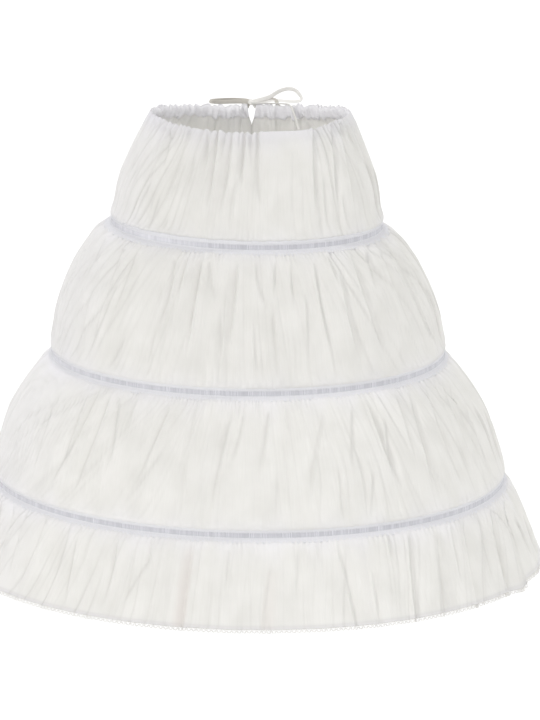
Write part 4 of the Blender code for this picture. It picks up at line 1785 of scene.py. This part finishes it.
@dataclass
class Drawstring:
    """The flat cotton tape that closes the waist, tied in a bow at the back.

    Attributes:
        width: The tape's width.
        thick: Its thickness.
        step: How far apart its rows are.
        facets: Steps round its section.
        knot: Half the knot's size, in mm.
        knot_at: Its middle, in mm from the middle of the slit.
    """

    width: float = 4.4 * MM
    thick: float = 0.9 * MM
    step: float = 1.2 * MM
    facets: int = 12
    knot: tuple[float, float, float] = (3.7, 3.3, 3.1)
    knot_at: tuple[float, float, float] = (-0.5, 82.8, 2.9)

    def build(self, material: bpy.types.Material, shaded_tape: bpy.types.Material) -> list[bpy.types.Object]:
        """Build the knot and the two ends of the string.

        Args:
            material: The tape's finish.
            shaded_tape: The same tape's finish made darker, painted shade for the left loop.

        Returns:
            The knot and the two strings.
        """
        knot = self.build_knot(material)
        left = self.build_string("string_left", LEFT_STRING, shaded_tape)
        right = self.build_string("string_right", RIGHT_STRING, material)
        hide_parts("string_lead_left", "bow_loop_left", "string_tail_short")
        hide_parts("string_lead_right", "bow_loop_right", "string_tail_long")
        return [knot, left[0], right[0]]

    def build_string(
        self, name: str, spots: Sequence[Spot], material: bpy.types.Material
    ) -> tuple[bpy.types.Object, np.ndarray]:
        """Build one end of the string from its lead round its loop to its tail.

        Args:
            name: The piece's name.
            spots: Its route.
            material: Its finish.

        Returns:
            The piece and the line that it follows.
        """
        path, turned = self.route(spots)
        wide, thin = self.sides(path, turned)
        turn = np.linspace(0, TURN, self.facets + 1)
        half_width, half_thick = (
            (np.sign(part) * np.abs(part) ** square * size / 2)[None, :, None]
            for part, square, size in ((np.cos(turn), 0.55, self.width), (np.sin(turn), 0.7, self.thick))
        )
        places = path[:, None, :] + wide[:, None, :] * half_width + thin[:, None, :] * half_thick
        places[:, -1] = places[:, 0]
        arc = np.concatenate([[0], np.cumsum(np.linalg.norm(np.diff(path, axis=0), axis=1))])
        across = np.tile(np.linspace(0, 2, self.facets + 1) * self.width, (len(path), 1))
        cloth = np.stack([across, arc[:, None] * np.ones_like(across)], axis=-1)
        mesh = grid_mesh(name, self.facets, len(path) - 1, places, cloth)
        close_round(mesh, capped=True)
        return finish_piece(name, mesh, material), path

    def route(self, spots: Sequence[Spot]) -> tuple[np.ndarray, np.ndarray]:
        """Run a smooth line through the points of a string.

        Args:
            spots: The points.

        Returns:
            The line in metres and how far the tape is turned along it, row by row.
        """
        points = np.array([astuple(spot) for spot in spots])
        points[:, :3] = points[:, :3] * MM + np.array([SLIT_MIDDLE, 0, 0])
        padded = np.vstack([2 * points[0] - points[1], points, 2 * points[-1] - points[-2]])
        rows = []
        for a, b, c, d in zip(padded, padded[1:], padded[2:], padded[3:]):
            count = max(2, round(float(np.linalg.norm((c - b)[:3])) / self.step))
            for t in np.arange(count) / count:
                square, cube = 2 * a - 5 * b + 4 * c - d, 3 * b - a - 3 * c + d
                rows.append(0.5 * (2 * b + (c - a) * t + square * t**2 + cube * t**3))
        line = np.array([*rows, points[-1]])
        return line[:, :3], np.radians(line[:, 3])

    @staticmethod
    def sides(path: np.ndarray, turned: np.ndarray) -> tuple[np.ndarray, np.ndarray]:
        """Find which way the tape's width and its thickness go.

        Args:
            path: The line that it follows.
            turned: How far it is turned edge on, along the line.

        Returns:
            The two directions along the line.
        """
        tangent = unit(np.gradient(path, axis=0))
        flat = unit(np.cross(tangent, np.array([0.0, 1.0, 0.0])))
        for i in range(1, len(flat)):
            if flat[i] @ flat[i - 1] < 0:
                flat[i] = -flat[i]
        deep = np.cross(tangent, flat)
        wide = flat * np.cos(turned)[:, None] + deep * np.sin(turned)[:, None]
        for _ in range(3):
            wide[1:-1] = (wide[:-2] + 2 * wide[1:-1] + wide[2:]) / 4
        wide = unit(wide - tangent * np.sum(wide * tangent, axis=1)[:, None])
        return wide, np.cross(tangent, wide)

    def build_knot(self, material: bpy.types.Material) -> bpy.types.Object:
        """Build the knot as a small pillow of tape with the wrap pressed into it.

        Args:
            material: The tape's finish.

        Returns:
            The knot.
        """
        shape = bmesh.new()
        bmesh.ops.create_uvsphere(shape, u_segments=40, v_segments=24, radius=1.0)
        wide, deep, tall = self.knot
        middle = Vector(self.knot_at) * MM + Vector((SLIT_MIDDLE, 0, 0))
        for vert in shape.verts:
            x, y, z = vert.co
            wrap = 0.12 * math.exp(-((x / 0.42) ** 4))
            groove = -0.10 * math.exp(-(((abs(x) - 0.55) / 0.14) ** 2))
            crease = 0.04 * math.sin(9 * z + 4 * x) * math.exp(-((x / 0.6) ** 2))
            vert.co = Vector((x * wide, y * deep, z * tall)) * (1 + wrap + groove + crease) * MM + middle
        mesh = bpy.data.meshes.new("bow_knot_wrap")
        shape.to_mesh(mesh)
        shape.free()
        mesh.shade_smooth()
        return finish_piece("bow_knot_wrap", mesh, material, ("bow_knot",))


@dataclass
class HemLace:
    """A narrow picot lace that edges one panel's hem.

    Attributes:
        node: The solid strip that it stands for.
        panel: The panel that it is sewn to.
        tall: How far it hangs from its footing.
        pitch: The width of one scallop.
        lapped: How far its footing lies over the hem.
        thread: The thickness of its threads.
    """

    node: str
    panel: Panel
    tall: float = 5.4 * MM
    pitch: float = 5.2 * MM
    lapped: float = 1.2 * MM
    thread: float = 0.3 * MM

    def build(self, tier: Tier, material: bpy.types.Material) -> bpy.types.Object:
        """Build the lace along the hem's own folds.

        Args:
            tier: The last tier.
            material: The lace's finish.

        Returns:
            The lace.
        """
        panel = self.panel
        angle = tier.angles(panel)
        places = tier.finish_edges(panel, angle, tier.section.place(angle, tier.shape(panel, angle)[0]))
        hem = places[-1]
        down = unit(hem - places[-4])
        out = np.cross(unit(np.gradient(hem, axis=0)), down)
        out *= -np.sign(np.sum(out * -hem * np.array([1, 1, 0]), axis=1))[:, None]
        arc = np.concatenate([[0], np.cumsum(np.linalg.norm(np.diff(hem, axis=0), axis=1))])
        count = round(arc[-1] / self.pitch)
        mesh = self.flat_strip(count)
        flat = np.zeros(len(mesh.vertices) * 3)
        mesh.vertices.foreach_get("co", flat)
        flat = flat.reshape(-1, 3)
        along = np.clip(flat[:, 0] / count * arc[-1], 0, arc[-1])
        spot, fall, proud = (
            np.stack([np.interp(along, arc, line[:, i]) for i in range(3)], axis=1)
            for line in (hem, down, out)
        )
        moved = spot + fall * (flat[:, 1:2] * self.tall - self.lapped) + proud * flat[:, 2:3]
        mesh.vertices.foreach_set("co", moved.ravel())
        mesh.update()
        return finish_piece(f"{self.node}_edging", mesh, material, (self.node,))

    def flat_strip(self, count: int) -> bpy.types.Mesh:
        """Make the lace flat, a scallop at a time.

        Args:
            count: How many scallops.

        Returns:
            The strip: X in scallops along, Y in shares of its height down, and Z in metres proud.
        """
        motif = bmesh.new()
        zigzag = ((0.0, 0.20), (0.25, 0.54), (0.5, 0.20), (0.75, 0.54), (1.0, 0.20))
        arch = ((0.0, 0.46), (0.2, 0.68), (0.5, 0.80), (0.8, 0.68), (1.0, 0.46))
        # The footing that is sewn to the hem, one zigzag, the arch and three picots.
        threads = [((0.0, 0.18), (1.0, 0.18), 0.16)]
        threads += [(a, b, 0.09) for a, b in zip(zigzag, zigzag[1:])]
        threads += [(a, b, 0.14) for a, b in zip(arch, arch[1:])]
        threads += [((x, y), (x, y + 0.24), 0.11) for x, y in arch[1:4]]
        for start, end, width in threads:
            self.bar(motif, start, end, width)
        source = list(motif.verts) + list(motif.edges) + list(motif.faces)
        for number in range(1, count):
            copy = bmesh.ops.duplicate(motif, geom=source)["geom"]
            moved = [item for item in copy if isinstance(item, bmesh.types.BMVert)]
            bmesh.ops.translate(motif, verts=moved, vec=(number, 0, 0))
        mesh = bpy.data.meshes.new(f"{self.node}_edging")
        motif.to_mesh(mesh)
        motif.free()
        mesh.shade_smooth()
        return mesh

    def bar(
        self, motif: bmesh.types.BMesh, start: tuple[float, float], end: tuple[float, float], width: float
    ) -> None:
        """Add one thread of the lace as a three-sided bar.

        Args:
            motif: The scallop being made.
            start: Where the thread starts, along and down.
            end: Where it ends.
            width: How wide it is, as a share of the scallop.
        """
        shape = bmesh.ops.create_cone(
            motif, cap_ends=True, cap_tris=False, segments=3, radius1=0.5, radius2=0.5, depth=1.0
        )["verts"]
        foot = Vector((*start, 0.0))
        run = Vector((*end, 0.0)) - foot
        side = Vector((-run.y, run.x, 0.0)).normalized() * width
        for vert in shape:
            x, y, z = vert.co
            vert.co = foot + run * (z + 0.5) + side * x + Vector((0.0, 0.0, y * self.thread * 2))


# Building


@dataclass(frozen=True)
class Lamp:
    """A sun: the way that its light goes, its strength, the degrees that it spreads and its colour."""

    name: str
    towards: tuple[float, float, float]
    strength: float
    spread: float
    colour: tuple[float, float, float] = (1.0, 1.0, 1.0)

    def build(self) -> None:
        """Put the lamp in the scene."""
        data = bpy.data.lights.new(self.name, "SUN")
        data.energy = self.strength
        data.angle = math.radians(self.spread)
        data.color = self.colour
        lamp = bpy.data.objects.new(self.name, data)
        lamp.rotation_euler = Vector(self.towards).to_track_quat("-Z", "Y").to_euler()
        bpy.context.scene.collection.objects.link(lamp)


@dataclass(frozen=True)
class Studio:
    """The white room that the skirt stands in.

    Attributes:
        floor: Half the floor's width and how high it lies.
        white: The floor's grey level, as a linear colour.
        light: The strength of the room's own light, on the skirt and as the camera sees it.
        lens_mm: The camera's lens.
        sensor_mm: How wide its sensor is.
        far: How far it sees.
        stand: Where it stands.
        aim: What it looks at.
        lamps: The lamps.
    """

    floor: tuple[float, float] = (14.0, -1.45)
    white: float = 0.96
    light: tuple[float, float] = (0.50, 1.05)
    lens_mm: float = 319.5
    sensor_mm: float = 36.0
    far: float = 50.0
    stand: tuple[float, float, float] = (0.0, -5.0, 0.886)
    aim: tuple[float, float, float] = (0.0227, 0.0, -0.2628)
    lamps: tuple[Lamp, ...] = (
        Lamp("left sun", (0.70, 0.50, -0.44), 0.90, 9.0, (1.0, 0.99, 0.98)),
        Lamp("right sun", (-0.90, -0.02, -0.42), 0.98, 10.0),
        Lamp("front sun", (0.05, 0.88, -0.40), 0.70, 16.0),
        Lamp("back sun", (0.15, -0.80, -0.60), 1.10, 30.0),
        Lamp("top sun", (0.0, 0.15, -1.0), 0.45, 60.0),
    )

    def build(self) -> None:
        """Lay the floor, light the room and set the camera."""
        self.lay_floor()
        self.light_room()
        for lamp in self.lamps:
            lamp.build()
        self.set_camera()
        log.info("studio: %d lamps", len(self.lamps))

    def lay_floor(self) -> None:
        """Lay the floor, which is part of the stage and not of the skirt."""
        half, height = self.floor
        shape = bmesh.new()
        bmesh.ops.create_grid(shape, x_segments=1, y_segments=1, size=half)
        bmesh.ops.translate(shape, verts=shape.verts, vec=(0, 0, height))
        mesh = bpy.data.meshes.new("floor")
        shape.to_mesh(mesh)
        shape.free()
        material, _, shader = new_material("white floor")
        shader.inputs["Base Color"].default_value = (self.white, self.white, self.white, 1.0)
        shader.inputs["Roughness"].default_value = 1.0
        shader.inputs["Specular IOR Level"].default_value = 0.0
        mesh.materials.append(material)
        floor = bpy.data.objects.new("floor", mesh)
        bpy.context.scene.collection.objects.link(floor)

    def light_room(self) -> None:
        """Make the room itself white, brighter where the camera sees it than where it lights the skirt."""
        world = bpy.data.worlds.new("white room")
        bpy.context.scene.world = world
        world.use_nodes = True
        tree = world.node_tree
        sky = tree.nodes["Background"]
        seen = add_node(tree, "ShaderNodeLightPath").outputs["Is Camera Ray"]
        ends = {"Value": seen, "To Min": self.light[0], "To Max": self.light[1]}
        strength = add_node(tree, "ShaderNodeMapRange", ends).outputs[0]
        sky.inputs["Color"].default_value = (1.0, 1.0, 1.0, 1.0)
        tree.links.new(strength, sky.inputs["Strength"])

    def set_camera(self) -> None:
        """Set the camera where the photo was taken from."""
        data = bpy.data.cameras.new("camera")
        data.lens = self.lens_mm
        data.sensor_width = self.sensor_mm
        data.sensor_fit = "HORIZONTAL"
        data.clip_end = self.far
        camera = bpy.data.objects.new("camera", data)
        camera.location = self.stand
        camera.rotation_euler = (Vector(self.aim) - camera.location).to_track_quat("-Z", "Y").to_euler()
        bpy.context.scene.collection.objects.link(camera)
        bpy.context.scene.camera = camera
        bpy.context.scene.view_settings.view_transform = "Standard"


def main() -> None:
    """Build the petticoat piece by piece."""
    logging.basicConfig(level=logging.INFO, format="%(message)s")
    Studio().build()

    cotton = CottonVoile().build()
    tape = ChannelTape().build()
    # The waist facing is the same voile painted lighter than the cloth, as painted light inside the waist.
    facing = ChannelTape("waist facing", "FAF9FB", "ECEBF0", see_through=0.10).build()
    fine, finer, brushed = (900, 900, 900), (1500, 1500, 1500), (60, 60, 2500)
    string = PlainFinish("cotton string tape", "EDECE9", "E0DEDA", 0.85, 0.2, fine, 0.2).build()
    # The same tape made darker, painted shade for the left loop.
    shaded_tape = PlainFinish("cotton string tape, painted shade", "CCC8C1", "BAB6AE", 0.9, 0.1, fine, 0.2).build()
    lace = PlainFinish("cotton lace", "EAE8E4", "DCDAD5", 0.9, 0.2, finer, 0.1).build()
    strip = PlainFinish("spring hoop strip", "BCBFCA", "AEB1BD", 0.45, 0.0, brushed, 0.05).build()

    Drawstring().build(string, shaded_tape)

    tier_1 = WaistTier(
        "hoop_1",
        tier_rings(WAIST, HOOP_1, TIER_1_SIDE, (2.4, 3.4)),
        38,
        (Panel("tier_1", Side.FRONT, 900, 32, 0.4, TIER_1_CREASES, (1.05, 0.125), True),),
        pitch=5.0,
        top_gather=0.5,
        crumple=1.0,
        swell=1.5,
        fan=(0.30, 0.12),
        # Painted shade darkens this tier a little, most at the front.
        painted_tier_shade=0.08,
    )
    tier_1.build(cotton)
    Casing().build(tier_1, facing)

    behind = mirrored(TIER_3_CREASES, 0.76, 9.0)
    Tier(
        "hoop_1",
        tier_rings(HOOP_1, HOOP_2, TIER_2_SIDE, (3.6, 4.4)),
        40,
        (
            Panel("tier_2_front", Side.FRONT, 560, 19, 1.1, TIER_2_CREASES, (0.75, 0.17)),
            Panel("tier_2_back", Side.BACK, 400, 19, 2.3, behind, (0.75, 0.17)),
        ),
        # Painted shade darkens this tier a little, most at the front.
        painted_tier_shade=0.04,
    ).build(cotton)
    behind = mirrored(TIER_2_CREASES, 1.25, -14.0)
    Tier(
        "hoop_2",
        tier_rings(HOOP_2, HOOP_3, TIER_3_SIDE, (4.0, 4.8)),
        40,
        (
            Panel("tier_3_front", Side.FRONT, 700, 20, 3.2, TIER_3_CREASES, (0.97, 0.165)),
            Panel("tier_3_back", Side.BACK, 500, 20, 4.5, behind, (0.97, 0.165)),
        ),
        fan=(0.60, 0.14),
    ).build(cotton)
    behind = mirrored(TIER_4_CREASES, 1.0, 21.0)
    tier_4 = HemTier(
        "hoop_3",
        tier_rings(HOOP_3, HEM, TIER_4_SIDE, (4.5, 7.0)),
        32,
        (
            Panel("tier_4_front", Side.FRONT, 900, 19, 5.1, TIER_4_CREASES, (1.15, 0.105)),
            Panel("tier_4_back", Side.BACK, 640, 19, 0.9, behind, (1.15, 0.105)),
        ),
        foot_gather=0.0,
        crumple=1.0,
        fan=(0.12, -0.10),
    )
    tier_4.build(cotton)
    for node, panel in zip(("hem_lace_front", "hem_lace_back"), tier_4.panels):
        HemLace(node, panel).build(tier_4, lace)

    for cover in (
        HoopTape("hoop_1_tape", HOOP_1, 640, (0.95, 0.016), 11, 0.55, 0.20),
        HoopTape("hoop_2_tape", HOOP_2, 900, (1.36, 0.015), 23, 0.6, 0.68),
        HoopTape("hoop_3_tape", HOOP_3, 1160, (1.76, 0.015), 37, 0.35, 0.72),
    ):
        cover.build(tape)
    HoopStrips().dress(strip)


if __name__ == "__main__":
    main()
